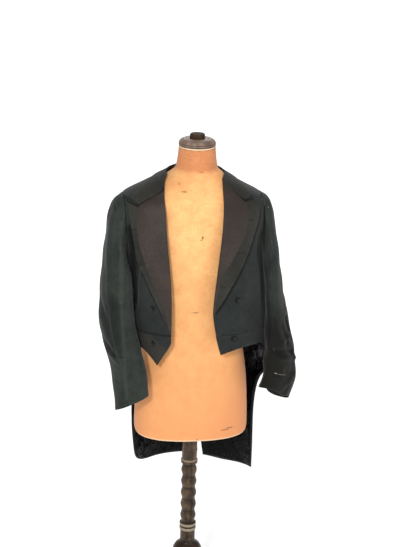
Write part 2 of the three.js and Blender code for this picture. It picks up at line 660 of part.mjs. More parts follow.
// Below the underarm a ring is an oval: its centre, half its thickness and half its
// width, how far its flat side turns to the front, and how its hem tips.
const ARM_ROWS = {
  right: [
    { out: 230, forward: 26, height: 1110, thick: 35, wide: 71, turn: 15, tipOut: 0, tipFront: 2, lead: 15 },
    { out: 229, forward: 37, height: 1062, thick: 38, wide: 68, turn: 25, tipOut: 0, tipFront: 4, lead: 3 },
    { out: 227, forward: 52, height: 1014, thick: 38, wide: 66, turn: 34, tipOut: 0, tipFront: 6 },
    { out: 225, forward: 68, height: 974, thick: 38, wide: 65, turn: 38, tipOut: 0, tipFront: 8 },
    { out: 222, forward: 84, height: 935, thick: 38, wide: 64, turn: 40, tipOut: 0, tipFront: 10 },
    { out: 208, forward: 98, height: 888, thick: 36, wide: 61, turn: 41, tipOut: 0, tipFront: 13 },
    { out: 196, forward: 108, height: 842, thick: 35, wide: 60, turn: 46, tipOut: 0, tipFront: 17 },
    { out: 190, forward: 115, height: 798, thick: 33, wide: 60, turn: 51, tipOut: -2, tipFront: 22 },
    { out: 186, forward: 119, height: 766, thick: 32, wide: 60, turn: 54, tipOut: -3, tipFront: 26 },
    { out: 185, forward: 121, height: 741, thick: 31, wide: 61, turn: 57, tipOut: -4, tipFront: 30 },
  ],
  left: [
    { out: 221.5, forward: 18, height: 1108, thick: 26.5, wide: 78, turn: 5, tipOut: 0, tipFront: 0 },
    { out: 227, forward: 30, height: 1052, thick: 27, wide: 77, turn: 9, tipOut: 0, tipFront: 0 },
    { out: 233.5, forward: 40, height: 1000, thick: 29.5, wide: 74, turn: 13, tipOut: 0, tipFront: 0 },
    { out: 238, forward: 55, height: 950, thick: 33, wide: 70, turn: 19, tipOut: 0, tipFront: 2 },
    { out: 242.5, forward: 65, height: 915, thick: 35, wide: 68, turn: 25, tipOut: 0, tipFront: 7 },
    { out: 249, forward: 74, height: 880, thick: 33, wide: 66, turn: 31, tipOut: 0, tipFront: 15 },
    { out: 254, forward: 82, height: 838, thick: 30, wide: 65, turn: 39, tipOut: 4, tipFront: 24 },
    { out: 255, forward: 90, height: 794, thick: 29, wide: 66, turn: 43, tipOut: 9, tipFront: 30 },
    { out: 237, forward: 98, height: 750, thick: 28, wide: 65, turn: 44, tipOut: 14, tipFront: 34 },
  ],
};
const TOP_SLEEVE = { from: -105, to: 115, steps: 12 };
const UNDER_SLEEVE = { from: 115, to: 255, steps: 7 };
const ARMHOLE_MIDDLE = (UNDERARM + SHOULDER_TIP) / 2;

// A frame for a ring: centre, and its outward and forward half axes.
function capRing(side, row) {
  const inner = new THREE.Vector3(side * row.innerOut, -row.forward, row.innerHeight);
  const outer = new THREE.Vector3(side * row.outerOut, -row.forward, row.outerHeight);
  const centre = inner.clone().add(outer).multiplyScalar(0.5);
  const outward = outer.clone().sub(centre);
  const front = new THREE.Vector3(0, -row.halfDeep, 0);
  return { centre, outward, front, lead: -side * (row.lead ?? 0) };
}

function armRing(side, row) {
  const [turn, tipOut, tipFront] = [row.turn, row.tipOut, row.tipFront].map(radians);
  const outward = new THREE.Vector3(
    side * Math.cos(turn) * Math.cos(tipOut),
    -Math.sin(turn) * Math.cos(tipOut),
    Math.sin(tipOut),
  );
  const front = new THREE.Vector3(
    -side * Math.sin(turn) * Math.cos(tipFront),
    -Math.cos(turn) * Math.cos(tipFront),
    Math.sin(tipFront),
  );
  return {
    centre: new THREE.Vector3(side * row.out, -row.forward, row.height),
    outward: outward.multiplyScalar(row.thick),
    front: front.multiplyScalar(row.wide),
    lead: -side * (row.lead ?? 0),
  };
}

// A point of a ring, drawn in by an inset within the ring's plane.
function ringPoint(ring, angle, inset) {
  const shrink = (axis) => axis.clone().multiplyScalar(1 - inset / axis.length());
  return ring.centre
    .clone()
    .addScaledVector(shrink(ring.outward), Math.cos(angle))
    .addScaledVector(shrink(ring.front), Math.sin(angle))
    .add(new THREE.Vector3(ring.lead * Math.max(0, Math.sin(angle)) ** 2, 0, 0));
}

// The armhole's own edge, just outside its plane.
function armholePoint(side, angle, inset) {
  const at = (reach) => {
    const height = ARMHOLE_MIDDLE + reach * Math.cos(angle);
    return new THREE.Vector3(side * armholeOut[side](height), -reach * Math.sin(angle), height);
  };
  const reach = bisect(20, 140, (length) => bodyLevel(at(length)) > 1);
  return at(reach - inset).add(new THREE.Vector3(side * SEAM, 0, 0));
}

function sleeveWall(name, side, { from, to, steps }) {
  const rings = [
    ...CAP_ROWS[name].map((row) => capRing(side, row)),
    ...ARM_ROWS[name].map((row) => armRing(side, row)),
  ];
  const angles = shares(steps).map((t) => radians(lerp(from, to, t)));
  const grid = (inset) => [
    angles.map((angle) => armholePoint(side, angle, inset)),
    ...rings.map((ring) => angles.map((angle) => ringPoint(ring, angle, inset))),
  ];
  const edges = { start: SEAM / 2, end: SEAM / 2 };
  return wallBetween(drawIn(grid(0), edges), drawIn(grid(CLOTH), edges));
}

for (const [name, side] of Object.entries(SIDES)) {
  add(`top_sleeve_${name}`, sleeveWall(name, side, TOP_SLEEVE), cloth);
  add(`under_sleeve_${name}`, sleeveWall(name, side, UNDER_SLEEVE), cloth);
}

// ---- buttons ----

const BUTTONS = [
  { name: 'button_front_right_upper', side: 'right', across: 129, height: 1026, size: FRONT_BUTTON },
  { name: 'button_front_right_lower', side: 'right', across: 127, height: 922, size: FRONT_BUTTON },
  { name: 'button_front_left_upper', side: 'left', across: 109, height: 1052, size: FRONT_BUTTON },
  { name: 'button_front_left_lower', side: 'left', across: 101, height: 940, size: FRONT_BUTTON },
  { name: 'button_back_right', side: 'right', turn: 160, height: 955, size: BACK_BUTTON },
  { name: 'button_back_left', side: 'left', turn: 160, height: 955, size: BACK_BUTTON },
];
// Share of the radius and of the thickness at each step of a button's dome.
const BUTTON_PROFILE = [[0, 0], [0.9, 0], [1, 0.3], [0.92, 0.7], [0.5, 1], [0, 1]];
const BUTTON_CLEARANCE = 0.4;
for (const button of BUTTONS) {
  const profile = BUTTON_PROFILE.map(
    ([across, up]) => new THREE.Vector2(across * button.size.radius, up * button.size.thick),
  );
  const side = SIDES[button.side];
  const turn = button.turn ?? turnAt(side, button.across, button.height);
  const point = bodyPoint(side, turn, button.height);
  const normal = bodyNormal(point);
  const mesh = add(button.name, new THREE.LatheGeometry(profile, 12), cloth);
  mesh.quaternion.setFromUnitVectors(new THREE.Vector3(0, 1, 0), normal);
  mesh.position.copy(point.addScaledVector(normal, BUTTON_CLEARANCE));
}

// ---- the dress form ----

// The coat rests on the form's shoulders: there the form follows the coat's shape.
const REST_INSET = 5.2;
const restRows = SHOULDER_HEIGHTS.map((height) => ({
  height,
  half: Math.min(body.right(height), body.left(height)) - REST_INSET,
  front: body.front(height) - REST_INSET,
  back: body.back(height) - REST_INSET,
  square: body.square(height),
}));
const TORSO_ROWS = [
  { height: TORSO_BOTTOM, half: 158, front: 94, back: 106, square: 2.4 },
  { height: 602, half: 165, front: 100, back: 112, square: 2.4 },
  { height: 611, half: 169, front: 104, back: 116, square: 2.4 },
  { height: 684, half: 167, front: 106, back: 118, square: 2.4 },
  { height: 790, half: 161, front: 104, back: 112, square: 2.4 },
  { height: 857, half: 149, front: 102, back: 104, square: 2.4 },
  { height: 905, half: 140, front: 101, back: 97, square: 2.4 },
  { height: 950, half: 134, front: 100, back: 92, square: 2.4 },
  { height: 1000, half: 136, front: 103, back: 93, square: 2.4 },
  { height: 1090, half: 146, front: 112, back: 100, square: 2.4 },
  { height: 1165, half: 156, front: 116, back: 109, square: 2.4 },
  { height: 1240, half: 168, front: 113, back: 116, square: 2.4 },
  { height: 1285, half: 175, front: 110, back: 117, square: 2.4 },
  { height: 1308, half: 176, front: 107, back: 115, square: 2.4 },
  ...restRows,
  { height: 1392, half: 66, front: 57, back: 66, square: 2.1 },
  { height: 1400, half: 60, front: 55, back: 62, square: 2.05 },
  { height: 1410, half: 57, front: 54, back: 58, square: 2 },
  { height: 1445, half: 53, front: 51, back: 52, square: 2 },
  { height: TORSO_TOP, half: 52, front: 50, back: 50, square: 2 },
];
const TORSO_SIDES = 32;

function stackedSections(rows, count) {
  const ring = (row) =>
    Array.from({ length: count }, (_, i) => {
      const angle = (i / count) * 2 * Math.PI;
      const power = 2 / row.square;
      const across = Math.sign(Math.sin(angle)) * Math.abs(Math.sin(angle)) ** power * row.half;
      const deep = Math.abs(Math.cos(angle)) ** power;
      const y = Math.cos(angle) > 0 ? -deep * row.front : deep * row.back;
      return [across, y, row.height];
    });
  const positions = rows.flatMap((row) => ring(row).flat());
  const bottom = rows.length * count;
  const top = bottom + 1;
  positions.push(0, 0, rows[0].height, 0, 0, rows[rows.length - 1].height);
  const faces = [];
  for (let j = 0; j < count; j += 1) {
    const next = (j + 1) % count;
    for (let i = 0; i < rows.length - 1; i += 1) {
      const [a, b] = [i * count + j, i * count + next];
      const [c, d] = [a + count, b + count];
      faces.push(a, b, d, a, d, c);
    }
    const last = (rows.length - 1) * count;
    faces.push(bottom, next, j, top, last + j, last + next);
  }
  return facingOut(positions, faces);
}
add('form_torso', stackedSections(TORSO_ROWS, TORSO_SIDES), canvas);

// Turned pieces: profiles are [radius, height] from the axis back to the axis.
function turned(name, profile, segments, material) {
  const points = profile.map(([radius, height]) => new THREE.Vector2(radius, height));
  const geometry = new THREE.LatheGeometry(points, segments);
  geometry.rotateX(Math.PI / 2);
  return add(name, geometry, material);
}

const capBottom = TORSO_TOP + SEAM;
const CAP_TOP = 1484;
turned('form_neck_cap', [
  [0, capBottom], [50, capBottom], [51.5, 1461], [51.5, 1464], [50.3, 1465.5], [52, 1467],
  [52, 1471], [49.5, 1475], [38, 1480], [24, CAP_TOP], [0, CAP_TOP],
], 28, capWood);
turned('form_cap_stub', [
  [0, CAP_TOP + SEAM], [21, CAP_TOP + SEAM], [21, 1494], [19.5, 1496.5], [0, 1497],
], 16, darkWood);

// The post: a plain foot, two light rings, bobbin beads, a ring and a plain collar.
const BEADS = { bottom: 292, pitch: 38, count: 5, swell: 23.5, neck: 19.5 };
const beadProfile = Array.from({ length: BEADS.count * 4 + 1 }, (_, i) => {
  const phase = (i / 4) * 2 * Math.PI;
  const middle = (BEADS.swell + BEADS.neck) / 2;
  const radius = middle - ((BEADS.swell - BEADS.neck) / 2) * Math.cos(phase);
  return [radius, BEADS.bottom + (i / 4) * BEADS.pitch];
});
const postBottom = HUB_TOP + SEAM;
const postTop = TORSO_BOTTOM - SEAM;
turned('stand_post', [
  [0, postBottom], [POST_RADIUS, postBottom], [POST_RADIUS, 262], [25, 264.5], [25, 272],
  [23, 274.5], [23, 277], [25, 279.5], [25, 286], [20, 289], ...beadProfile, [20, 485],
  [25, 488], [25, 497], [21, 500], [POST_RADIUS, 506], [POST_RADIUS, postTop], [0, postTop],
], 16, darkWood);

turned('stand_base', [
  [0, 0], [186, 0], [BASE_RADIUS, 4], [BASE_RADIUS, 16], [180, 25], [120, 33], [70, 42],
  [48, 58], [36, 84], [31, 108], [36, 136], [45, 165], [46, 188], [42, 208], [34, 222],
  [25, HUB_TOP], [0, HUB_TOP],
], 28, darkWood);

export default coat;
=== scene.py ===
# %% [markdown]
# # An evening tailcoat on its dress form
#
# The solids of the coat, the form and the stand come in ready made as a fixed frame. Each cloth
# piece is there as a thin wall with the cut of the real one. This lesson turns those walls into
# cloth: it rounds them, presses creases into them, works the buttonholes, covers the buttons and
# gives every surface its own finish. The form and the turned stand are dressed in the same way.

# %% Load the frame
import math

import bmesh
import bpy
import numpy as np
from mathutils import Matrix, Vector
from mathutils.bvhtree import BVHTree
from mathutils.kdtree import KDTree


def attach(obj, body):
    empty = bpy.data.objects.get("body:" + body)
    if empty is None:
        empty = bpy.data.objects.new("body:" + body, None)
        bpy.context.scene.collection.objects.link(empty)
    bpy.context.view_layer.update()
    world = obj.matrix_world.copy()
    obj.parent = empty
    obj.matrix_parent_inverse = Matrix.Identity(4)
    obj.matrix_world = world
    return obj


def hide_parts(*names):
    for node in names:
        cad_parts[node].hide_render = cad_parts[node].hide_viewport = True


SIDES = ("right", "left")
WELD = 1e-6  # vertices closer than this are one
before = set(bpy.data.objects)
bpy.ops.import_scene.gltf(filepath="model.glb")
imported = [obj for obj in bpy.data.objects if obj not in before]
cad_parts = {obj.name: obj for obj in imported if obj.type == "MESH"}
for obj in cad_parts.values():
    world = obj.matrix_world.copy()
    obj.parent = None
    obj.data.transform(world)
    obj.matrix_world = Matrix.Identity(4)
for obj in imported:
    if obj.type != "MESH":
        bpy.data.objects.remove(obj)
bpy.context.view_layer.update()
scene = bpy.context.scene

# %% [markdown]
# ## The camera
#
# A coat on a stand is usually looked at from a little above its collar, so that the neck cap and
# the shoulders show from the top. The camera stands a few steps away with a long lens, slightly
# to the wearer's right. It is placed from three vectors, because a roll of a degree or two is
# easier to give that way than with a tracking constraint.

# %% Camera
CAMERA_AZIMUTH = math.radians(-8.0)
CAMERA_ELEVATION = math.radians(19.0)
CAMERA_ROLL = math.radians(1.6)
CAMERA_DISTANCE = 4.2
AIM_HEIGHT = 1.085
AIM_SHIFT = 0.03157  # sideways, along the camera's own right
SENSOR_WIDTH = 36.0
PICTURE_WIDTH = 410
FOCAL_PIXELS = 1463.4

away = Vector((
    math.sin(CAMERA_AZIMUTH) * math.cos(CAMERA_ELEVATION),
    -math.cos(CAMERA_AZIMUTH) * math.cos(CAMERA_ELEVATION),
    math.sin(CAMERA_ELEVATION),
))
level_right = (-away).cross(Vector((0, 0, 1))).normalized()
level_up = level_right.cross(-away)
camera_right = math.cos(CAMERA_ROLL) * level_right + math.sin(CAMERA_ROLL) * level_up
camera_up = math.cos(CAMERA_ROLL) * level_up - math.sin(CAMERA_ROLL) * level_right
aim = Vector((0, 0, AIM_HEIGHT)) + camera_right * AIM_SHIFT
lens = bpy.data.cameras.new("view")
lens.sensor_fit = "HORIZONTAL"
lens.sensor_width = SENSOR_WIDTH
lens.lens = FOCAL_PIXELS / PICTURE_WIDTH * SENSOR_WIDTH
camera = bpy.data.objects.new("view", lens)
turn = Matrix((camera_right, camera_up, away)).transposed().to_4x4()
camera.matrix_world = Matrix.Translation(aim + away * CAMERA_DISTANCE) @ turn
scene.collection.objects.link(camera)
scene.camera = camera
print("the camera stands at", [round(v, 2) for v in camera.location])

# %% [markdown]
# ## The studio
#
# A black coat needs broad soft light, or it turns into a flat dark shape. Large area lights stand
# in for a studio's soft boxes: a key from the wearer's right, a weaker fill on the other side, one
# overhead and one behind. The floor and the air around are almost white.

# %% Floor, lights and sky
FLOOR_REACH = 40.0
FLOOR_LEVEL = -0.0005
LIGHTS = [
    {"name": "key", "at": (-1.35, -4.2, 3.1), "size": 0.5, "power": 136.0},
    {"name": "fill", "at": (3.2, -3.0, 1.6), "size": 2.4, "power": 26.0},
    {"name": "overhead", "at": (0.2, -0.6, 4.2), "size": 2.2, "power": 20.0},
    {"name": "rear", "at": (0.6, 3.4, 2.8), "size": 2.4, "power": 40.0},
]
LIT_POINT = Vector((0, 0, 1.0))
SKY_STRENGTH = 0.38


def placed(shape, name):
    """The object that holds a shape. The shape itself is freed."""
    mesh = bpy.data.meshes.new(name)
    shape.to_mesh(mesh)
    shape.free()
    piece = bpy.data.objects.new(name, mesh)
    scene.collection.objects.link(piece)
    return piece


def area_light(row):
    """A soft square light that faces the middle of the coat."""
    data = bpy.data.lights.new(row["name"], "AREA")
    data.shape = "SQUARE"
    data.size = row["size"]
    data.energy = row["power"]
    light = bpy.data.objects.new(row["name"], data)
    light.location = row["at"]
    light.rotation_euler = (LIT_POINT - light.location).to_track_quat("-Z", "Y").to_euler()
    scene.collection.objects.link(light)


for row in LIGHTS:
    area_light(row)
world = bpy.data.worlds.new("studio")
world.use_nodes = True
sky = world.node_tree.nodes["Background"]
sky.inputs["Color"].default_value = (1, 1, 1, 1)
sky.inputs["Strength"].default_value = SKY_STRENGTH
scene.world = world
scene.view_settings.view_transform = "Standard"

sheet_of_floor = bmesh.new()
bmesh.ops.create_grid(sheet_of_floor, x_segments=1, y_segments=1, size=FLOOR_REACH)
bmesh.ops.translate(sheet_of_floor, vec=(0, 0, FLOOR_LEVEL), verts=sheet_of_floor.verts)
floor = placed(sheet_of_floor, "floor")
print("lights:", len(LIGHTS))

# %% [markdown]
# ## Words for materials
#
# A finish is easier to read as sums than as boxes and wires. `Channel` wraps one output of a
# shader node and gives it Python's operators, each of which adds a Math node. `Finish` holds one
# material and adds every other kind of node through a single method.


# %% Channel and Finish
class Channel:
    """A number, colour or vector that changes over a surface."""

    def __init__(self, finish, socket):
        self.finish = finish
        self.socket = socket

    def maths(self, operation, *terms):
        return self.finish.node("ShaderNodeMath", {"operation": operation}, dict(enumerate(terms)))

    def __add__(self, other):
        return self.maths("ADD", self, other)

    def __sub__(self, other):
        return self.maths("SUBTRACT", self, other)

    def __rsub__(self, other):
        return self.maths("SUBTRACT", other, self)

    def __mul__(self, other):
        return self.maths("MULTIPLY", self, other)

    def __truediv__(self, other):
        return self.maths("DIVIDE", self, other)

    def __pow__(self, power):
        return self.maths("POWER", self, power)

    __radd__ = __add__
    __rmul__ = __mul__

    def wave(self):
        return self.maths("SINE", self)

    def size(self):
        return self.maths("ABSOLUTE", self)

    def most(self, other):
        return self.maths("MAXIMUM", self, other)

    def least(self, other):
        return self.maths("MINIMUM", self, other)

    def rise(self, low, high):
        """0 below low, 1 above high, smooth between. With low above high it falls instead."""
        settings = {"interpolation_type": "SMOOTHSTEP"}
        return self.finish.node("ShaderNodeMapRange", settings, {0: self, 1: low, 2: high})

    def parts(self):
        split = self.finish.node("ShaderNodeSeparateXYZ", inputs={0: self})
        return [Channel(self.finish, socket) for socket in split.socket.node.outputs]

    def length(self):
        return self.finish.node("ShaderNodeVectorMath", {"operation": "LENGTH"}, {0: self}, "Value")


class Finish:
    """A material and the one way to add a node to it."""

    def __init__(self, name):
        self.material = bpy.data.materials.new(name)
        self.material.use_nodes = True
        self.tree = self.material.node_tree
        self.shader = self.tree.nodes["Principled BSDF"]

    def feed(self, socket, value):
        if isinstance(value, Channel):
            self.tree.links.new(value.socket, socket)
        else:
            socket.default_value = value

    def node(self, kind, settings=None, inputs=None, output=0):
        node = self.tree.nodes.new(kind)
        for name, value in (settings or {}).items():
            setattr(node, name, value)
        for name, value in (inputs or {}).items():
            self.feed(node.inputs[name], value)
        return Channel(self, node.outputs[output])

    def place(self):
        return self.node("ShaderNodeTexCoord", output="Object")

    def stored(self, name):
        return self.node("ShaderNodeAttribute", {"attribute_name": name}, output="Fac")

    def cloth_map(self):
        return self.node("ShaderNodeUVMap", {"uv_map": "cloth"})

    def noise(self, where, scale, detail=2.0, roughness=0.5):
        inputs = {"Vector": where, "Scale": scale, "Detail": detail, "Roughness": roughness}
        return self.node("ShaderNodeTexNoise", inputs=inputs)

    def stretched(self, where, scale):
        return self.node("ShaderNodeMapping", inputs={"Vector": where, "Scale": scale})

    def blend(self, first, second, share):
        return self.node("ShaderNodeMix", {"data_type": "RGBA"}, {0: share, 6: first, 7: second}, 2)

    def relief(self, height, depth, strength):
        """Turns a height from 0 to 1 into a bump of that depth in metres."""
        return self.node("ShaderNodeBump", inputs={"Height": height, "Distance": depth, "Strength": strength})

    def shade(self, **channels):
        """Feeds the shader's sockets, each named in small letters with underscores."""
        sockets = {socket.name.lower().replace(" ", "_"): socket for socket in self.shader.inputs}
        for name, value in channels.items():
            self.feed(sockets[name], value)


def paint(red, green, blue):
    """A colour from 0 to 255, turned into the linear values a shader wants."""
    linear = [v / 255 / 12.92 if v <= 10 else ((v / 255 + 0.055) / 1.055) ** 2.4 for v in (red, green, blue)]
    return (*linear, 1.0)


floor_finish = Finish("pale_floor")
far = floor_finish.place().length().rise(1.2, 4.0)
floor_finish.shade(
    base_color=(0.9, 0.9, 0.9, 1.0), roughness=0.9,
    emission_color=floor_finish.blend((0.42, 0.42, 0.42, 1), (0.8, 0.8, 0.8, 1), far), emission_strength=1.0,
)
floor.data.materials.append(floor_finish.material)
print("material words are ready")

# %% [markdown]
# ## The coat's wool
#
# Evening cloth is a fine black twill. Old black dye fades towards green and brown, and the nap
# wears unevenly, so the colour moves slowly over a hand's width and the surface has a soft fuzz
# that catches light at grazing angles. Wear shows first where an edge is rubbed. The weave itself
# is a pair of waves across the cloth map, which is measured in metres and runs with the grain.

# %% Wool
TWILL_PITCH = 0.0011
FUZZ = 0.08
SEAM_DARK = paint(9, 10, 10)


def capsule(finish, across, up, start, end, width):
    """1 on a short line between two places, 0 a width away from it."""
    run, climb = end[0] - start[0], end[1] - start[1]
    along = ((across - start[0]) * run + (up - start[1]) * climb) / (run * run + climb * climb)
    along = along.most(0.0).least(1.0)
    off_across = across - start[0] - along * run
    off_up = up - start[1] - along * climb
    return (off_across * off_across + off_up * off_up).rise(width * width, 0.0)


def wool(name, colour, faded, marks=(), seam_strength=0.85):
    """Worn fine twill: colour where the nap is whole, faded where it is rubbed."""
    finish = Finish(name)
    place = finish.place()
    across, along, _ = finish.cloth_map().parts()
    x, y, z = place.parts()
    cloudy = finish.noise(place, 9.0, 3.0, 0.55)
    rubbed = finish.noise(place, 60.0, 4.0, 0.6)
    speckle = finish.noise(place, 230.0, 3.0, 0.7)
    wear = (cloudy * 0.5 + rubbed * 0.3 + speckle * 0.2).rise(0.36, 0.64)
    edge = finish.stored("edge")
    seam_line = edge.rise(0.0019, 0.0005)
    rubbed_edge = edge.rise(0.009, 0.002) * rubbed.rise(0.35, 0.6) * 0.4
    shade = finish.blend(colour, faded, (wear * 0.8 + rubbed_edge).least(1.0))
    lint = finish.noise(place, 700.0, 2.0, 0.7).rise(0.66, 0.8)
    shade = finish.blend(shade, paint(88, 88, 82), lint * 0.2)
    front = y.rise(-0.02, -0.05)
    ragged = speckle.rise(0.3, 0.6)
    # Painted shade in creases, troughs and under edges, painted highlights on ridges, and chalk.
    for start, end, width, tone, strength, soft in marks:
        mark = capsule(finish, x, z, start, end, width) * front * strength
        shade = finish.blend(shade, tone, mark if soft else mark * ragged)
    shade = finish.blend(shade, SEAM_DARK, seam_line * seam_strength)
    twill = ((across + along) * (2 * math.pi / TWILL_PITCH)).wave() * 0.5 + 0.5
    nap = finish.noise(place, 420.0, 3.0, 0.65)
    height = twill * 0.10 + nap * 0.35 + rubbed * 0.4 - seam_line * 0.9
    finish.shade(
        base_color=shade,
        roughness=(nap * 0.14 + 0.76),
        normal=finish.relief(height, 0.0010, 0.6),
        specular_ior_level=0.2,
        sheen_weight=FUZZ,
        sheen_roughness=0.45,
    )
    return finish


OLIVE = paint(14, 13, 8)
SHADE_OF_CREASE = paint(8, 9, 9)
CHALK = paint(190, 182, 160)
RIDGE_HIGHLIGHT = paint(62, 67, 62)


def painted_shade_line(places, width, strength):
    """Soft marks of painted shade, in creases and under edges, from each place to the next."""
    return [(a, b, width, SHADE_OF_CREASE, strength, True) for a, b in zip(places, places[1:])]


# Start and end (x, z), width, colour, strength, and whether the mark has soft edges.
# Marks in the shade of a crease are painted shade and the marks along the sleeve's ridge painted
# highlights; the chalk marks are the cloth's own.
SLEEVE_MARKS = {
    "right": [
        ((-0.246, 1.035), (-0.240, 0.900), 0.030, SHADE_OF_CREASE, 0.5, True),
        ((-0.238, 0.884), (-0.212, 0.889), 0.0035, SHADE_OF_CREASE, 0.7, True),
        ((-0.230, 1.314), (-0.232, 1.294), 0.004, SHADE_OF_CREASE, 0.7, True),
        ((-0.221, 1.318), (-0.222, 1.304), 0.003, SHADE_OF_CREASE, 0.5, True),
        # Painted highlights along a ridge of the sleeve.
        ((-0.214, 1.260), (-0.217, 1.040), 0.009, RIDGE_HIGHLIGHT, 0.3, True),
        ((-0.217, 1.040), (-0.203, 0.760), 0.007, RIDGE_HIGHLIGHT, 0.25, True),
        ((-0.196, 1.250), (-0.182, 1.130), 0.008, SHADE_OF_CREASE, 0.9, True),
        ((-0.182, 1.130), (-0.176, 1.010), 0.006, SHADE_OF_CREASE, 0.9, True),
    ],
    "left": [
        ((0.238, 0.880), (0.245, 0.700), 0.170, OLIVE, 0.95, True),
        *painted_shade_line([(0.186, 1.300), (0.188, 1.190), (0.203, 1.020), (0.205, 0.900)], 0.0045, 0.95),
        ((0.218, 0.985), (0.226, 0.965), 0.004, SHADE_OF_CREASE, 0.7, True),
        ((0.246, 0.960), (0.262, 0.925), 0.012, SHADE_OF_CREASE, 0.6, True),
        ((0.222, 0.940), (0.252, 0.890), 0.026, SHADE_OF_CREASE, 0.45, True),
        ((0.240, 0.962), (0.262, 0.905), 0.006, SHADE_OF_CREASE, 0.7, True),
        ((0.210, 0.895), (0.238, 0.878), 0.006, SHADE_OF_CREASE, 0.85, True),
        ((0.238, 0.878), (0.252, 0.868), 0.004, SHADE_OF_CREASE, 0.8, True),
        ((0.214, 0.760), (0.246, 0.742), 0.0022, SHADE_OF_CREASE, 0.6, True),
        ((0.219, 0.897), (0.2193, 0.891), 0.0008, CHALK, 0.5, False),
        ((0.221, 0.829), (0.227, 0.828), 0.0014, CHALK, 0.6, False),
        ((0.221, 0.829), (0.256, 0.815), 0.0011, CHALK, 0.35, False),
        ((0.216, 0.822), (0.260, 0.806), 0.004, SHADE_OF_CREASE, 0.75, True),
        ((0.198, 1.297), (0.199, 1.296), 0.0014, CHALK, 0.35, False),
        ((0.206, 1.206), (0.207, 1.204), 0.0014, CHALK, 0.35, False),
    ],
}
# Painted shadow that the outer edges of the lapels cast on the fronts, as lines of places.
LAPEL_SHADOW_LINES = {
    "right": [(-0.108, 1.014), (-0.132, 1.064), (-0.154, 1.116), (-0.172, 1.150)],
    "left": [
        (0.046, 1.018), (0.066, 1.048), (0.086, 1.083), (0.115, 1.130), (0.137, 1.175), (0.153, 1.216),
        (0.166, 1.262), (0.172, 1.295),
    ],
}
BELOW_WAIST = paint(50, 47, 41)
FRONT_MARKS = [
    *painted_shade_line(LAPEL_SHADOW_LINES["left"], 0.0055, 0.9),
    *painted_shade_line(LAPEL_SHADOW_LINES["right"], 0.0045, 0.6),
    ((-0.190, 1.250), (-0.176, 1.030), 0.012, SHADE_OF_CREASE, 0.95, True),
    ((-0.150, 0.922), (-0.110, 0.895), 0.036, BELOW_WAIST, 0.7, True),
    ((-0.165, 0.951), (-0.081, 0.954), 0.0035, SHADE_OF_CREASE, 0.7, True),
    ((0.050, 0.952), (0.190, 0.951), 0.0025, SHADE_OF_CREASE, 0.4, True),
    ((0.109, 0.945), (0.190, 0.940), 0.004, BELOW_WAIST, 0.35, False),
    ((0.191, 1.240), (0.188, 1.060), 0.010, SHADE_OF_CREASE, 0.9, True),
    # Painted shadows of the front buttons, as dark crescents on the cloth beside them.
    *painted_shade_line([(-0.1320, 1.034), (-0.1300, 1.026), (-0.1320, 1.017)], 0.0026, 0.95),
    *painted_shade_line([(-0.1300, 0.931), (-0.1280, 0.923), (-0.1305, 0.914)], 0.0026, 0.95),
    *painted_shade_line([(0.1005, 1.057), (0.1000, 1.047), (0.1090, 1.042)], 0.0025, 0.9),
    *painted_shade_line([(0.0925, 0.945), (0.0920, 0.935), (0.1010, 0.930)], 0.0025, 0.9),
    ((0.188, 1.060), (0.196, 0.930), 0.007, SHADE_OF_CREASE, 0.8, True),
]
NOTCHES = [
    ((-0.168, 1.3125), (-0.200, 1.3220), 0.0032, SHADE_OF_CREASE, 0.95, True),
    ((-0.200, 1.3220), (-0.197, 1.3300), 0.0028, SHADE_OF_CREASE, 0.8, True),
    ((0.124, 1.3270), (0.150, 1.3290), 0.0032, SHADE_OF_CREASE, 0.95, True),
]
body_wool = wool("coat_wool", paint(26, 30, 29), paint(40, 44, 42), FRONT_MARKS)
lapel_wool = wool("lapel_wool", paint(33, 33, 29), paint(49, 48, 43), NOTCHES, seam_strength=0.4)
sleeve_wool = {
    side: wool(f"sleeve_wool_{side}", paint(29, 34, 31), paint(48, 53, 48), SLEEVE_MARKS[side])
    for side in SIDES
}
print("wools:", body_wool.material.name, lapel_wool.material.name)

# %% [markdown]
# ## From a wall to cloth
#
# Each solid is a wall of flat facets. A copy of it is merged, its triangles are joined back to
# quads, and its rims are creased so that the Subdivision modifier rounds the broad faces and
# leaves the edges crisp. The fine mesh then takes a distance to the nearest rim, which the
# materials use for seams and wear, and a map in metres along the grain.

# %% Cloth pieces
RIM_ANGLE = math.radians(50)
SHARP_ANGLE = math.radians(40)
RIM_STEP = 0.003
AROUND = 0.17  # metres of cloth for one radian round the body
root_pieces = {}


def quads_with_rims(node):
    """A merged copy of a solid with its facets joined and its rims creased."""
    shape = bmesh.new()
    shape.from_mesh(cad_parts[node].data)
    bmesh.ops.remove_doubles(shape, verts=shape.verts, dist=WELD)
    bmesh.ops.join_triangles(
        shape, faces=shape.faces, angle_face_threshold=RIM_ANGLE, angle_shape_threshold=math.pi,
    )
    crease = shape.edges.layers.float.new("crease_edge")
    for edge in shape.edges:
        if edge.calc_face_angle(0.0) > RIM_ANGLE:
            edge[crease] = 1.0
    return shape


def rim_points(shape):
    """Points at even steps along the creased edges."""
    crease = shape.edges.layers.float["crease_edge"]
    points = []
    for edge in shape.edges:
        if edge[crease]:
            first, second = (vert.co for vert in edge.verts)
            steps = max(1, round((second - first).length / RIM_STEP))
            points += [first.lerp(second, i / steps) for i in range(steps + 1)]
    return points


def rounded(shape, name, levels):
    """The object that a Subdivision modifier makes of a shape."""
    piece = placed(shape, name)
    coarse = piece.data
    modifier = piece.modifiers.new("round", "SUBSURF")
    modifier.levels = modifier.render_levels = levels
    modifier.boundary_smooth = "PRESERVE_CORNERS"
    fine = bpy.data.meshes.new_from_object(piece.evaluated_get(bpy.context.evaluated_depsgraph_get()))
    piece.modifiers.clear()
    piece.data = fine
    bpy.data.meshes.remove(coarse)
    fine.name = name
    return piece


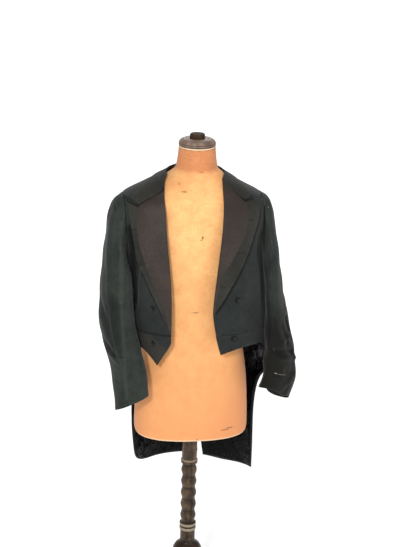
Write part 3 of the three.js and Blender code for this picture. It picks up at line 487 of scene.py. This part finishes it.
def corners(piece):
    """The places of a piece's vertices, one row each."""
    places = np.empty(len(piece.data.vertices) * 3)
    piece.data.vertices.foreach_get("co", places)
    return places.reshape(-1, 3)


def keep_float(piece, name, values):
    store = piece.data.attributes.new(name, "FLOAT", "POINT")
    store.data.foreach_set("value", np.asarray(values, dtype=np.float32))


def keep_map(piece, across, along):
    """Stores a map in metres, from values at the vertices."""
    layer = piece.data.uv_layers.new(name="cloth")
    loops = np.empty(len(piece.data.loops), dtype=np.int32)
    piece.data.loops.foreach_get("vertex_index", loops)
    layer.data.foreach_set("uv", np.column_stack([across[loops], along[loops]]).ravel())


def dress(piece, node, finish):
    """Puts a piece on what it rides on, hides the solid it stands for, and gives it its finish."""
    piece.data.materials.clear()
    piece.data.materials.append(finish.material)
    piece.data.shade_smooth()
    piece.data.set_sharp_from_angle(angle=SHARP_ANGLE)
    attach(piece, "root")
    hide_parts(node)
    root_pieces[piece.name] = piece


def body_map(places, behind):
    """Across and along the cloth on the coat's body, counted from the front or from behind."""
    turn = np.arctan2(places[:, 0], places[:, 1] if behind else -places[:, 1])
    return turn * AROUND, places[:, 2]


def cloth_piece(node, name, levels, shape_of, map_of, finish):
    """Makes one cloth piece: rounds it, moves it by shape_of, and stores its map and rims."""
    shape = quads_with_rims(node)
    rims = rim_points(shape)
    piece = rounded(shape, name, levels)
    places = corners(piece)
    tree = KDTree(len(rims))
    for i, point in enumerate(rims):
        tree.insert(point, i)
    tree.balance()
    keep_float(piece, "edge", [tree.find(place)[2] for place in places])
    keep_map(piece, *map_of(places))
    piece.data.vertices.foreach_set("co", shape_of(places).ravel())
    piece.data.update()
    dress(piece, node, finish)


# %% [markdown]
# ## Folds as functions
#
# A crease in cloth is a soft trough or ridge along a line. Each is a row in a table: where it
# starts and ends, how wide it is and how far it stands. Places are read in the cloth's own terms,
# a turn round the body or the sleeve and a height, so a crease stays on its piece. Both faces of
# a wall move together, so the cloth keeps its thickness.

# %% Folds
BODY_OVAL = (0.04, 0.0225)  # squares of the body's half width and half depth


def fold_heights(across, along, folds, round_metres):
    """How far each place is pushed out by a table of folds. Turns are degrees."""
    total = np.zeros(len(across))
    for start_turn, start_height, end_turn, end_height, width, depth in folds:
        first = np.array([math.radians(start_turn) * round_metres, start_height])
        second = np.array([math.radians(end_turn) * round_metres, end_height])
        line = second - first
        offset = np.column_stack([across * round_metres, along]) - first
        share = np.clip(offset @ line / (line @ line), 0, 1)
        distance = np.linalg.norm(offset - share[:, None] * line, axis=1)
        total += depth * np.exp(-((distance / width) ** 2))
    return total


def ripples(across, along, waves):
    """Slow waves that keep a broad face from looking pressed."""
    return sum(
        depth * np.sin(2 * math.pi * (across * a + along * b) + phase) for a, b, phase, depth in waves
    )


def settle(places, heights, outward):
    return places + outward * heights[:, None]


def away_from_body(places):
    """Level directions out of the coat's body."""
    across, deep = BODY_OVAL
    out = np.column_stack([places[:, 0] / across, places[:, 1] / deep, np.zeros(len(places))])
    return out / np.maximum(np.linalg.norm(out, axis=1), 1e-9)[:, None]


print("fold words are ready")

# %% [markdown]
# ## The body of the coat
#
# The fronts are canvassed, so they hang almost flat, with a little fullness under the arm and a
# soft drag from the lapel towards the waist. The back is close and smooth.

# %% Body pieces
BODY_LEVELS = 2
BODY_WAVES = [(3.1, 1.7, 0.4, 0.0006), (-4.3, 2.6, 1.9, 0.0005), (7.2, 5.1, 2.2, 0.0003)]
FOREPART_FOLDS = {
    "right": [
        (-64, 1.24, -68, 1.02, 0.012, -0.010),
        (-80, 1.16, -82, 1.00, 0.014, 0.002),
        (-48, 1.06, -60, 0.98, 0.018, 0.0016),
    ],
    "left": [
        (70, 1.22, 72, 1.03, 0.014, -0.005),
        (86, 1.22, 88, 0.92, 0.032, 0.0085),
        (40, 1.04, 58, 0.985, 0.014, -0.0014),
    ],
}
NO_FOLDS = []
SKIRT_FOLDS = {
    "right": [(-112, 0.80, -116, 0.62, 0.020, -0.006)],
    "left": [
        (98, 0.862, 102, 0.800, 0.034, 0.022), (100, 0.800, 104, 0.775, 0.024, 0.018),
        (118, 0.90, 122, 0.72, 0.016, -0.006),
    ],
}
PART_FOLDS = {
    "forepart": FOREPART_FOLDS, "front_point": FOREPART_FOLDS, "side_body": FOREPART_FOLDS,
    "skirt": SKIRT_FOLDS,
}
SLIDE_FADE = 0.015  # height over which a slide dies out
SLIDE_DEPTH = 0.03  # how far in front of the middle it is whole


def body_shape(folds, waves=BODY_WAVES, fall=0.0):
    def shape_of(places):
        turn = np.arctan2(places[:, 0], -places[:, 1])
        heights = fold_heights(turn, places[:, 2], folds, AROUND)
        heights = heights + ripples(turn * AROUND, places[:, 2], waves) + fall
        return settle(places, heights, away_from_body(places))
    return shape_of


def slid(shape_of, amount, nearest, farthest, top):
    """A shape whose front, near the centre line and below top, also slides to the wearer's right."""
    def shape(places):
        across = np.abs(places[:, 0])
        share = np.clip((farthest - across) / (farthest - nearest), 0, 1)
        share *= np.clip((top - places[:, 2]) / SLIDE_FADE, 0, 1)
        share *= np.clip(-places[:, 1] / SLIDE_DEPTH, 0, 1)
        moved = shape_of(places)
        moved[:, 0] -= amount * share
        return moved
    return shape


def from_front(places):
    return body_map(places, False)


def from_behind(places):
    return body_map(places, True)


PART_MAPS = {
    "forepart": from_front, "side_body": from_behind, "back": from_behind, "skirt": from_behind,
    "front_point": from_front, "lapel": from_front,
}
for side in SIDES:
    for part, map_of in PART_MAPS.items():
        node = f"{part}_{side}"
        shape_of = body_shape(PART_FOLDS[part][side] if part in PART_FOLDS else NO_FOLDS)
        if node == "front_point_left":
            shape_of = slid(shape_of, amount=0.0058, nearest=0.04, farthest=0.10, top=1.0)
        finish = lapel_wool if part == "lapel" else body_wool
        cloth_piece(node, f"wool_{node}", BODY_LEVELS, shape_of, map_of, finish)
for node in ("collar_fall", "collar_stand"):
    reaching = slid(body_shape(NO_FOLDS), amount=0.0060, nearest=0.085, farthest=0.125, top=1.392)
    cloth_piece(node, f"wool_{node}", BODY_LEVELS, reaching, from_behind, lapel_wool)
print("body pieces:", len(root_pieces))

# %% [markdown]
# ## Sleeves
#
# A tailored sleeve is two pieces, the top sleeve and the under sleeve. Hanging empty it keeps the
# bend of the elbow, creases across the inside of that bend, and collapses a little down its front.

# %% Sleeves
SLEEVE_LEVELS = 3
SLEEVE_AROUND = 0.055
SLEEVE_AXIS = {
    "right": [
        (1.30, -0.205, 0.0), (1.20, -0.222, -0.010), (1.11, -0.230, -0.026), (1.014, -0.227, -0.052),
        (0.935, -0.222, -0.084), (0.842, -0.196, -0.108), (0.741, -0.185, -0.121),
    ],
    "left": [
        (1.30, 0.195, 0.0), (1.20, 0.208, -0.010), (1.108, 0.222, -0.022), (1.0, 0.234, -0.046),
        (0.915, 0.243, -0.066), (0.838, 0.250, -0.082), (0.798, 0.246, -0.090), (0.752, 0.225, -0.098),
    ],
}
# Turns count from the front round the outside of the arm.
SLEEVE_FOLDS = {
    "right": [
        (25, 1.27, 18, 1.10, 0.010, -0.003),
        (62, 1.29, 56, 1.26, 0.005, -0.0016),
        (46, 1.29, 44, 1.27, 0.005, -0.0016),
        (40, 1.26, 30, 1.04, 0.012, 0.003),
        (26, 1.02, 10, 0.76, 0.010, 0.004),
        (108, 1.03, 62, 0.985, 0.013, -0.004),
        (100, 0.985, 66, 0.94, 0.010, 0.002),
        (112, 0.93, 52, 0.888, 0.011, -0.005),
        (96, 0.89, 46, 0.868, 0.008, 0.003),
        (-20, 1.10, -35, 0.92, 0.012, -0.004),
        (-84, 1.22, -62, 1.06, 0.022, 0.0045),
    ],
    "left": [
        (40, 1.25, 46, 1.04, 0.012, -0.003),
        (84, 1.02, 30, 0.985, 0.010, 0.003),
        (52, 0.965, 88, 0.905, 0.008, -0.007),
        (2, 0.955, 24, 0.905, 0.010, -0.004),
        (80, 0.925, 8, 0.915, 0.008, 0.004),
        (64, 0.872, -24, 0.893, 0.007, -0.008),
        (84, 0.852, -10, 0.868, 0.008, 0.005),
        (72, 0.812, 10, 0.828, 0.007, -0.005),
        (60, 0.80, 20, 0.79, 0.009, 0.003),
        (-78, 0.95, -70, 0.88, 0.030, 0.004),
        (-70, 0.84, -54, 0.74, 0.040, 0.022),
        (-88, 1.22, -92, 1.14, 0.024, 0.003),
        (-90, 1.06, -100, 0.90, 0.022, -0.002),
        (88, 0.87, 84, 0.79, 0.030, 0.0055),
    ],
}
SLEEVE_WAVES = [
    (5.3, 3.7, 0.7, 0.0010), (-8.1, 5.9, 2.9, 0.0007), (2.4, 11.0, 1.2, 0.0006), (21.0, 9.0, 0.3, 0.0004),
]
SLEEVE_HEAD = 1.325  # folds start below it, over HEAD_FADE
HEAD_FADE = 0.05
CUFF_TOP = 0.84  # the cuff is bent below it, over CUFF_FADE
CUFF_FADE = 0.10
CUFF_DROP = {"right": 0.0, "left": 0.018}  # how far the front of the cuff falls
CUFF_LIFT = {"right": 0.0, "left": 0.020}  # how far its inner side is pulled up
DROP_TURN = 0.5  # where the cuff falls most, in radians from the front


def sleeve_middle(side, heights):
    rows = sorted(SLEEVE_AXIS[side])
    levels, outs, fronts = (np.array(column) for column in zip(*rows))
    return np.interp(heights, levels, outs), np.interp(heights, levels, fronts)


def sleeve_terms(side, places):
    """The turn round the sleeve and the level direction out of it at each place."""
    middle_x, middle_y = sleeve_middle(side, places[:, 2])
    out_x, out_y = places[:, 0] - middle_x, places[:, 1] - middle_y
    length = np.maximum(np.hypot(out_x, out_y), 1e-9)
    sign = -1 if side == "right" else 1
    turn = np.arctan2(sign * out_x, -out_y)
    outward = np.column_stack([out_x / length, out_y / length, np.zeros(len(places))])
    return turn, outward


def sleeve_shape(side):
    def shape_of(places):
        turn, outward = sleeve_terms(side, places)
        heights = fold_heights(turn, places[:, 2], SLEEVE_FOLDS[side], SLEEVE_AROUND)
        heights = heights + ripples(turn * SLEEVE_AROUND, places[:, 2], SLEEVE_WAVES)
        calm = np.clip((SLEEVE_HEAD - places[:, 2]) / HEAD_FADE, 0, 1)
        settled = settle(places, heights * calm, outward)
        near_hem = np.clip((CUFF_TOP - places[:, 2]) / CUFF_FADE, 0, 1)
        settled[:, 2] -= CUFF_DROP[side] * near_hem * np.maximum(0, np.cos(turn - DROP_TURN)) ** 2
        settled[:, 2] += CUFF_LIFT[side] * near_hem * np.maximum(0, -np.sin(turn)) ** 4
        return settled
    return shape_of


def sleeve_map(side):
    def map_of(places):
        turn, _ = sleeve_terms(side, places)
        return turn * SLEEVE_AROUND, places[:, 2]
    return map_of


for side in SIDES:
    for part in ("top_sleeve", "under_sleeve"):
        node = f"{part}_{side}"
        cloth_piece(
            node, f"wool_{node}", SLEEVE_LEVELS, sleeve_shape(side), sleeve_map(side),
            sleeve_wool[side],
        )
print("sleeve faces:", sum(len(root_pieces[n].data.polygons) for n in root_pieces if "sleeve" in n))

# %% [markdown]
# ## Silk and satin
#
# The lapels are faced with ribbed silk up to a border of the coat's own cloth. Silk has less fuzz
# than wool and a broad soft shine. The tails are lined with black satin, which has a sharper
# shine, so its crumples show as thin bright lines. Behind the left sleeve a bluish highlight is
# painted into the satin's colour as well.

# %% Silk facings and satin linings
RIB_PITCH = 0.0016


def silk_finish():
    finish = Finish("lapel_silk")
    place = finish.place()
    _, along, _ = finish.cloth_map().parts()
    cloudy = finish.noise(place, 14.0, 3.0, 0.55).rise(0.35, 0.7)
    shade = finish.blend(paint(43, 33, 27), paint(57, 45, 38), cloudy)
    speckle = finish.noise(place, 200.0, 3.0, 0.7).rise(0.35, 0.7)
    shade = finish.blend(shade, paint(32, 25, 21), speckle * 0.7)
    ribs = (along * (2 * math.pi / RIB_PITCH)).wave() * 0.5 + 0.5
    slub = finish.noise(finish.stretched(place, (40.0, 40.0, 500.0)), 1.0, 2.0)
    seam_line = finish.stored("edge").rise(0.0019, 0.0004)
    shade = finish.blend(shade, SEAM_DARK, seam_line * 0.25)
    height = ribs * 0.12 + slub * 0.18 - seam_line * 0.7
    finish.shade(
        base_color=shade,
        roughness=(slub * 0.12 + 0.5),
        normal=finish.relief(height, 0.0007, 0.5),
        specular_ior_level=0.3,
        sheen_weight=0.06,
        sheen_roughness=0.35,
    )
    return finish


def satin_finish():
    finish = Finish("tail_satin")
    place = finish.place()
    cloudy = finish.noise(place, 16.0, 3.0, 0.6)
    shade = finish.blend(paint(0, 0, 1), paint(4, 4, 7), cloudy.rise(0.4, 0.75))
    x, _, z = place.parts()
    # A painted highlight: bluish grey sheen painted into the satin's colour on the crumples there.
    sheen = finish.noise(finish.stretched(place, (50.0, 50.0, 30.0)), 1.0, 4.0, 0.6).rise(0.46, 0.60)
    highlight_patch = x.rise(0.172, 0.188) * z.rise(0.775, 0.80) * z.rise(0.895, 0.87)
    shade = finish.blend(shade, paint(74, 75, 84), sheen * highlight_patch)
    creased = finish.noise(finish.stretched(place, (34.0, 34.0, 22.0)), 1.0, 4.0, 0.55)
    pulls = (creased - 0.5).size().rise(0.0, 0.16)
    finish.shade(
        base_color=shade,
        roughness=(cloudy * 0.16 + 0.28),
        normal=finish.relief(pulls, 0.006, 0.9),
        specular_ior_level=0.12,
    )
    return finish


lapel_silk = silk_finish()
tail_satin = satin_finish()
LINING_WAVES = [
    (9.0, 3.0, 0.4, 0.0012), (-14.0, 9.0, 1.1, 0.0009), (23.0, -16.0, 2.6, 0.0006), (6.0, 27.0, 0.9, 0.0005),
]
# Crumples of the satin behind the left sleeve and along the hems.
LINING_FOLDS = {
    "right": [(-150, 0.56, -120, 0.50, 0.010, -0.004), (-175, 0.55, -135, 0.49, 0.008, -0.004)],
    "left": [
        (99, 0.87, 118, 0.85, 0.006, -0.006), (99, 0.84, 114, 0.80, 0.006, -0.007),
        (100, 0.81, 116, 0.78, 0.007, -0.006), (106, 0.87, 104, 0.78, 0.006, -0.005),
        (112, 0.70, 114, 0.56, 0.010, -0.004), (130, 0.56, 160, 0.50, 0.010, -0.004),
    ],
}
LINING_FALL = -0.0032  # keeps the waves inside the cloth
for side in SIDES:
    node = f"lapel_silk_{side}"
    shape_of = body_shape(NO_FOLDS)
    cloth_piece(node, f"facing_{side}", BODY_LEVELS, shape_of, from_front, lapel_silk)
    for part in ("skirt_lining", "back_lining"):
        node = f"{part}_{side}"
        folds = SKIRT_FOLDS[side] + LINING_FOLDS[side]
        cloth_piece(
            node, f"satin_{node}", SLEEVE_LEVELS, body_shape(folds, LINING_WAVES, LINING_FALL), from_behind,
            tail_satin,
        )
print("pieces so far:", len(root_pieces))

# %% [markdown]
# ## The dress form
#
# A tailor's form is papier-mâché under a tight cotton jersey. Above the neck seam it is one tone,
# below it another, and long use leaves pin marks, pen strokes and stains. The form's solid is
# rounded like the cloth, and the marks are painted at their places on the chest.

# %% Form
FORM_LEVELS = 2
NECK_SEAM = 1.395
TORSO_TOP = 1.459
TORSO_BOTTOM = 0.597


def spot(finish, x, z, middle, reach):
    """1 in the middle of an ellipse on the form's front, 0 outside it."""
    dx = (x - middle[0]) / reach[0]
    dz = (z - middle[1]) / reach[1]
    return (dx * dx + dz * dz).rise(1.0, 0.25)


# Middle (x, z), reach (x, z) and strength of the marks of pins, pens and knocks.
FORM_MARKS = [
    ((-0.056, 1.371), (0.0040, 0.0045), 0.5),
    ((-0.042, 1.353), (0.013, 0.0030), 0.55),
    ((-0.025, 1.356), (0.004, 0.0030), 0.4),
    ((0.006, 1.400), (0.009, 0.003), 0.35),
    ((0.007, 1.228), (0.0035, 0.007), 0.8),
    ((0.003, 1.221), (0.0040, 0.003), 0.7),
    ((-0.008, 1.003), (0.015, 0.0024), 0.8),
    ((0.090, 0.633), (0.016, 0.0024), 0.95),
    ((0.104, 0.637), (0.014, 0.0024), 0.95),
    ((0.008, 0.607), (0.003, 0.006), 0.7),
]


def form_finish():
    finish = Finish("form_jersey")
    place = finish.place()
    x, y, z = place.parts()
    cloudy = finish.noise(place, 6.0, 3.0, 0.5).rise(0.35, 0.75)
    blotchy = finish.noise(place, 28.0, 4.0, 0.65).rise(0.35, 0.7)
    weft = finish.noise(finish.stretched(place, (60.0, 60.0, 420.0)), 1.0, 3.0, 0.6)
    warp = finish.noise(finish.stretched(place, (420.0, 420.0, 50.0)), 1.0, 3.0, 0.6)
    thready = (weft * 0.5 + warp * 0.5).rise(0.42, 0.66)
    shade = finish.blend(paint(247, 190, 124), paint(241, 178, 114), cloudy)
    shade = finish.blend(shade, paint(214, 138, 86), z.rise(1.12, 0.60) * 0.72)
    low_left = (x + (1.0 - z) * 0.25).rise(0.06, 0.26) * z.rise(0.92, 0.72)
    shade = finish.blend(shade, paint(205, 126, 82), low_left * 0.55)
    wander = (finish.noise(place, 40.0, 2.0) - 0.5) * 0.014
    neck = (z - x * x * 1.2 + wander).rise(NECK_SEAM - 0.010, NECK_SEAM + 0.012)
    shade = finish.blend(shade, finish.blend(paint(196, 124, 78), paint(160, 96, 62), blotchy), neck * 0.95)
    shade = finish.blend(shade, paint(218, 142, 86), blotchy * 0.45)
    shade = finish.blend(shade, paint(218, 150, 94), thready * 0.5)
    # Painted shade: the form turns darker towards its sides.
    edge = x.size().rise(0.120, 0.170)
    shade = finish.blend(shade, paint(206, 134, 84), edge * 0.55)
    front = y.rise(0.0, -0.02)
    marks = 0.0
    for middle, reach, strength in FORM_MARKS:
        marks = spot(finish, x, z, middle, reach) * strength + marks
    grain = finish.noise(place, 260.0, 3.0, 0.6)
    broken = finish.noise(place, 140.0, 3.0, 0.7).rise(0.34, 0.52)
    shade = finish.blend(shade, paint(96, 66, 38), (marks * front * broken).least(1.0))
    rubbed_edge = z.rise(TORSO_BOTTOM + 0.012, TORSO_BOTTOM + 0.003)
    shade = finish.blend(shade, paint(246, 222, 184), rubbed_edge * 0.8)
    jersey = ((x + y) * 2600.0).wave() * (z * 2600.0).wave()
    finish.shade(
        base_color=shade,
        roughness=0.72,
        normal=finish.relief(grain * 0.6 + jersey * 0.08 + thready * 0.5, 0.0009, 0.5),
        specular_ior_level=0.3,
        sheen_weight=0.1,
        sheen_roughness=0.5,
    )
    return finish


form = rounded(quads_with_rims("form_torso"), "form_body", FORM_LEVELS)
dress(form, "form_torso", form_finish())
print("form faces:", len(form.data.polygons))

# %% [markdown]
# ## Turned wood
#
# The neck cap, its stub, the post and the base are turned on a lathe, so each is one outline spun
# round the axis. The outline is a chain of vertices that spin sweeps through a full turn, and its
# own small chamfers keep the corners from being knife sharp.

# %% Turned pieces
SPIN_STEPS = 64
HUB_TOP = 0.232
GAP = 0.0003
POST_RADIUS = 0.0225
BEADS = {"bottom": 0.292, "pitch": 0.038, "count": 5, "swell": 0.0235, "neck": 0.0195}
BEAD_STEPS = 10


def spun(outline, steps):
    """An outline of (radius, height) pairs, from the axis back to the axis, swept round it."""
    shape = bmesh.new()
    chain = [shape.verts.new((radius, 0, height)) for radius, height in outline]
    edges = [shape.edges.new(pair) for pair in zip(chain, chain[1:])]
    bmesh.ops.spin(
        shape, geom=chain + edges, cent=(0, 0, 0), axis=(0, 0, 1), angle=2 * math.pi,
        steps=steps, use_merge=True, use_duplicate=False,
    )
    bmesh.ops.remove_doubles(shape, verts=shape.verts, dist=WELD)
    bmesh.ops.recalc_face_normals(shape, faces=shape.faces)
    return shape


def turned(node, name, outline, finish):
    """Spins an outline and dresses it in place of its solid."""
    dress(placed(spun(outline, SPIN_STEPS), name), node, finish)


def band(value, low, high, soft):
    """1 between two limits, 0 outside them."""
    return value.rise(low - soft, low + soft) * value.rise(high + soft, high - soft)


def wood(name, dark, light, grain_scale, roughness, shine, rings=()):
    """Varnished wood with its grain along the axis of turning, and rings that differ."""
    finish = Finish(name)
    place = finish.place()
    x, y, z = place.parts()
    radius = (x * x + y * y) ** 0.5
    grain = finish.noise(finish.stretched(place, (grain_scale, grain_scale, grain_scale / 9)), 1.0, 4.0, 0.6)
    pores = finish.noise(finish.stretched(place, (900.0, 900.0, 60.0)), 1.0, 2.0)
    blotches = finish.noise(place, 55.0, 3.0, 0.6)
    shade = finish.blend(dark, light, (grain * 0.6 + pores * 0.15 + blotches * 0.25).rise(0.36, 0.64))
    for measure, low, high, soft, tone, strength in rings:
        ring = band({"radius": radius, "height": z}[measure], low, high, soft)
        shade = finish.blend(shade, tone, ring * strength)
    finish.shade(
        base_color=shade,
        roughness=(pores * 0.2 + blotches * 0.2 + roughness - 0.1),
        normal=finish.relief(grain * 0.5 + pores * 0.5, 0.0004, 0.4),
        specular_ior_level=shine,
    )
    return finish


def bead_outline():
    steps = BEADS["count"] * BEAD_STEPS
    middle = (BEADS["swell"] + BEADS["neck"]) / 2
    swing = (BEADS["swell"] - BEADS["neck"]) / 2
    turns = [i / BEAD_STEPS for i in range(steps + 1)]
    return [
        (middle - swing * math.cos(2 * math.pi * turn), BEADS["bottom"] + turn * BEADS["pitch"])
        for turn in turns
    ]


RING_DARK = paint(30, 22, 17)
CREAM = paint(236, 208, 170)
PALE_RING_AND_HIGHLIGHT = paint(150, 138, 118)
RING_LIGHT = paint(168, 144, 126)
cap_wood = wood("cap_wood", paint(98, 78, 63), paint(142, 118, 100), 60.0, 0.42, 0.45, [
    ("radius", 0.0215, 0.0240, 0.0006, RING_DARK, 0.9),
    ("radius", 0.0255, 0.0290, 0.0010, RING_LIGHT, 0.6),
    ("radius", 0.0305, 0.0330, 0.0006, RING_DARK, 0.85),
    ("radius", 0.0345, 0.0380, 0.0010, RING_LIGHT, 0.6),
    ("radius", 0.0392, 0.0415, 0.0006, RING_DARK, 0.9),
    ("height", 1.4712, 1.4732, 0.0004, RING_DARK, 0.95),
    ("height", 1.4655, 1.4680, 0.0005, RING_DARK, 0.95),
    ("height", 1.4600, 1.4640, 0.0004, CREAM, 0.8),
])
stub_wood = wood("stub_wood", paint(38, 25, 16), paint(72, 52, 38), 60.0, 0.6, 0.12)
# Painted shade in the hollow necks between the beads of the post.
NECK_SHADE = paint(14, 10, 7)
NECKS = [BEADS["bottom"] + i * BEADS["pitch"] for i in range(BEADS["count"] + 1)]
dark_wood = wood("post_wood", paint(16, 11, 7), paint(92, 72, 52), 45.0, 0.26, 0.22, [
    *(("height", neck - 0.0030, neck + 0.0030, 0.0045, NECK_SHADE, 0.85) for neck in NECKS),
    # A painted highlight along the upper edge of the post's collar; the two rings below are pale bands.
    ("height", 0.4965, 0.5005, 0.0008, PALE_RING_AND_HIGHLIGHT, 0.8),
    ("height", 0.2775, 0.2865, 0.0006, PALE_RING_AND_HIGHLIGHT, 0.9),
    ("height", 0.2640, 0.2725, 0.0006, PALE_RING_AND_HIGHLIGHT, 0.9),
    ("height", 0.2735, 0.2765, 0.0005, RING_DARK, 0.8),
])
base_wood = wood("base_wood", paint(26, 18, 11), paint(58, 44, 31), 45.0, 0.26, 0.22)
cap_bottom = TORSO_TOP + GAP
turned("form_neck_cap", "neck_cap", [
    (0, cap_bottom), (0.050, cap_bottom), (0.0515, 1.461), (0.0515, 1.464), (0.0503, 1.4655),
    (0.0520, 1.4670), (0.0520, 1.4695), (0.0512, 1.4705), (0.0518, 1.4720), (0.0505, 1.4755),
    (0.0475, 1.4790), (0.0420, 1.4818), (0.0340, 1.4836), (0.0225, 1.484), (0, 1.484),
], cap_wood)
turned("form_cap_stub", "cap_stub", [
    (0, 1.4843), (0.021, 1.4843), (0.021, 1.494), (0.0195, 1.4965), (0, 1.497),
], stub_wood)
post_bottom = HUB_TOP + GAP
post_top = TORSO_BOTTOM - GAP
turned("stand_post", "turned_post", [
    (0, post_bottom), (POST_RADIUS, post_bottom), (POST_RADIUS, 0.262), (0.025, 0.2645), (0.025, 0.272),
    (0.023, 0.2745), (0.023, 0.277), (0.025, 0.2795), (0.025, 0.286), (0.020, 0.289),
    *bead_outline(), (0.020, 0.485), (0.025, 0.488), (0.025, 0.497), (0.021, 0.500),
    (POST_RADIUS, 0.506), (POST_RADIUS, post_top), (0, post_top),
], dark_wood)
turned("stand_base", "turned_base", [
    (0, 0), (0.186, 0), (0.190, 0.004), (0.190, 0.016), (0.180, 0.025), (0.120, 0.033), (0.070, 0.042),
    (0.048, 0.058), (0.036, 0.084), (0.031, 0.108), (0.036, 0.136), (0.045, 0.162), (0.046, 0.182),
    (0.043, 0.200), (0.036, 0.212), (0.027, 0.219), (0.0230, 0.224), (POST_RADIUS, HUB_TOP), (0, HUB_TOP),
], base_wood)
print("pieces with the turned ones:", len(root_pieces))

# %% [markdown]
# ## Buttons
#
# A covered button is a flat dome of cloth drawn over a mould, with a shallow ring pressed near its
# edge where the cloth is gathered behind. Each is spun like the wood, then turned to face out of
# the coat at the place of its solid.

# %% Buttons
BUTTON_NODES = [
    "button_front_right_upper", "button_front_right_lower", "button_front_left_upper",
    "button_front_left_lower", "button_back_right", "button_back_left",
]
# Share of the radius, share of the thickness.
BUTTON_OUTLINE = [
    (0, 0), (0.80, 0), (0.93, 0.12), (1.0, 0.34), (0.98, 0.52), (0.90, 0.66), (0.84, 0.66),
    (0.78, 0.74), (0.60, 0.90), (0.32, 0.98), (0, 1.0),
]
BUTTON_STEPS = 40
PRESSED_RING = 0.87  # share of the radius


def button_frame(node):
    """Middle, outward direction, radius and thickness of a button's solid."""
    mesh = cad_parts[node].data
    places = np.array([vert.co[:] for vert in mesh.vertices])
    middle = places.mean(axis=0)
    spread = np.linalg.svd(places - middle)[2]
    outward = spread[2] if spread[2] @ np.array([middle[0], middle[1], 0]) > 0 else -spread[2]
    heights = (places - middle) @ outward
    radius = np.linalg.norm((places - middle) - np.outer(heights, outward), axis=1).max()
    foot = middle + outward * heights.min()
    return Vector(foot), Vector(outward), radius, heights.max() - heights.min()


for node in BUTTON_NODES:
    foot, outward, radius, thick = button_frame(node)
    shape = spun([(across * radius, up * thick) for across, up in BUTTON_OUTLINE], BUTTON_STEPS)
    turn = outward.to_track_quat("Z", "Y").to_matrix().to_4x4()
    bmesh.ops.transform(shape, matrix=Matrix.Translation(foot) @ turn, verts=shape.verts)
    button = placed(shape, f"covered_{node}")
    places = corners(button)
    middle = np.array(foot)
    from_axis = np.linalg.norm(np.cross(places - middle, np.array(outward)), axis=1) / radius
    keep_float(button, "edge", np.abs(from_axis - PRESSED_RING) * radius)
    keep_map(button, places[:, 0], places[:, 2])
    dress(button, node, body_wool)
print("buttons:", len(BUTTON_NODES))

# %% [markdown]
# ## Buttonholes
#
# A buttonhole is a slit with thread worked round it. Each is a flat loop of thread that follows
# the cloth under it: every point of the loop is found by looking straight in from the front.

# %% Buttonholes
HOLE_STEPS = 36
THREAD_SIDES = 6
THREAD_RADIUS = 0.0009
SQUARENESS = 0.4  # below 1 it makes the ends of a loop square
IN_FRONT = -0.5  # where the look straight in starts
# Piece under the hole, its ends as (x, z), and half the width of its slit.
BUTTONHOLES = {
    "buttonhole_left_upper": ("wool_lapel_left", (0.132, 1.278), (0.152, 1.274), 0.0010),
    "buttonhole_left_middle": ("wool_lapel_left", (0.101, 1.188), (0.122, 1.184), 0.0010),
    "buttonhole_left_lower": ("wool_lapel_left", (0.051, 1.098), (0.069, 1.096), 0.0010),
    "buttonhole_right_upper": ("wool_lapel_right", (-0.187, 1.248), (-0.170, 1.252), 0.0010),
    "buttonhole_right_lower": ("wool_lapel_right", (-0.168, 1.148), (-0.142, 1.156), 0.0011),
}


def thread_finish():
    finish = Finish("silk_thread")
    place = finish.place()
    wound = finish.noise(place, 1400.0, 2.0)
    finish.shade(
        base_color=finish.blend(paint(3, 3, 3), paint(12, 12, 10), wound),
        roughness=0.6,
        normal=finish.relief(wound, 0.0002, 0.5),
    )
    return finish


def on_cloth(tree, across, height):
    """Where the line straight in from the front meets the cloth, and the way out of it there."""
    place, normal, _, _ = tree.ray_cast(Vector((across, IN_FRONT, height)), Vector((0, 1, 0)))
    return place, normal


silk_thread = thread_finish()
for name, (host, start, end, half_slot) in BUTTONHOLES.items():
    tree = BVHTree.FromObject(root_pieces[host], bpy.context.evaluated_depsgraph_get())
    start, end = Vector(start), Vector(end)
    middle, half = (start + end) / 2, (end - start) / 2
    beside = Vector((-half.y, half.x)).normalized() * half_slot
    shape = bmesh.new()
    rings = []
    for i in range(HOLE_STEPS):
        angle = 2 * math.pi * i / HOLE_STEPS
        aside = math.sin(angle)
        flat = middle + half * math.cos(angle) + beside * math.copysign(abs(aside) ** SQUARENESS, aside)
        place, normal = on_cloth(tree, flat.x, flat.y)
        if place is None:
            print(name, "misses the cloth at", tuple(flat))
            break
        outward = (flat - middle).normalized()
        level = Vector((outward.x, 0, outward.y))
        level = (level - normal * level.dot(normal)).normalized()
        rings.append([
            shape.verts.new(place + (level * math.cos(turn) + normal * math.sin(turn)) * THREAD_RADIUS)
            for turn in (2 * math.pi * j / THREAD_SIDES for j in range(THREAD_SIDES))
        ])
    for ring, after in zip(rings, rings[1:] + rings[:1]):
        for j in range(THREAD_SIDES):
            k = (j + 1) % THREAD_SIDES
            shape.faces.new((ring[j], ring[k], after[k], after[j]))
    bmesh.ops.recalc_face_normals(shape, faces=shape.faces)
    loop = placed(shape, name)
    loop.data.materials.append(silk_thread.material)
    loop.data.shade_smooth()
    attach(loop, "root")
print("buttonholes:", len(BUTTONHOLES))
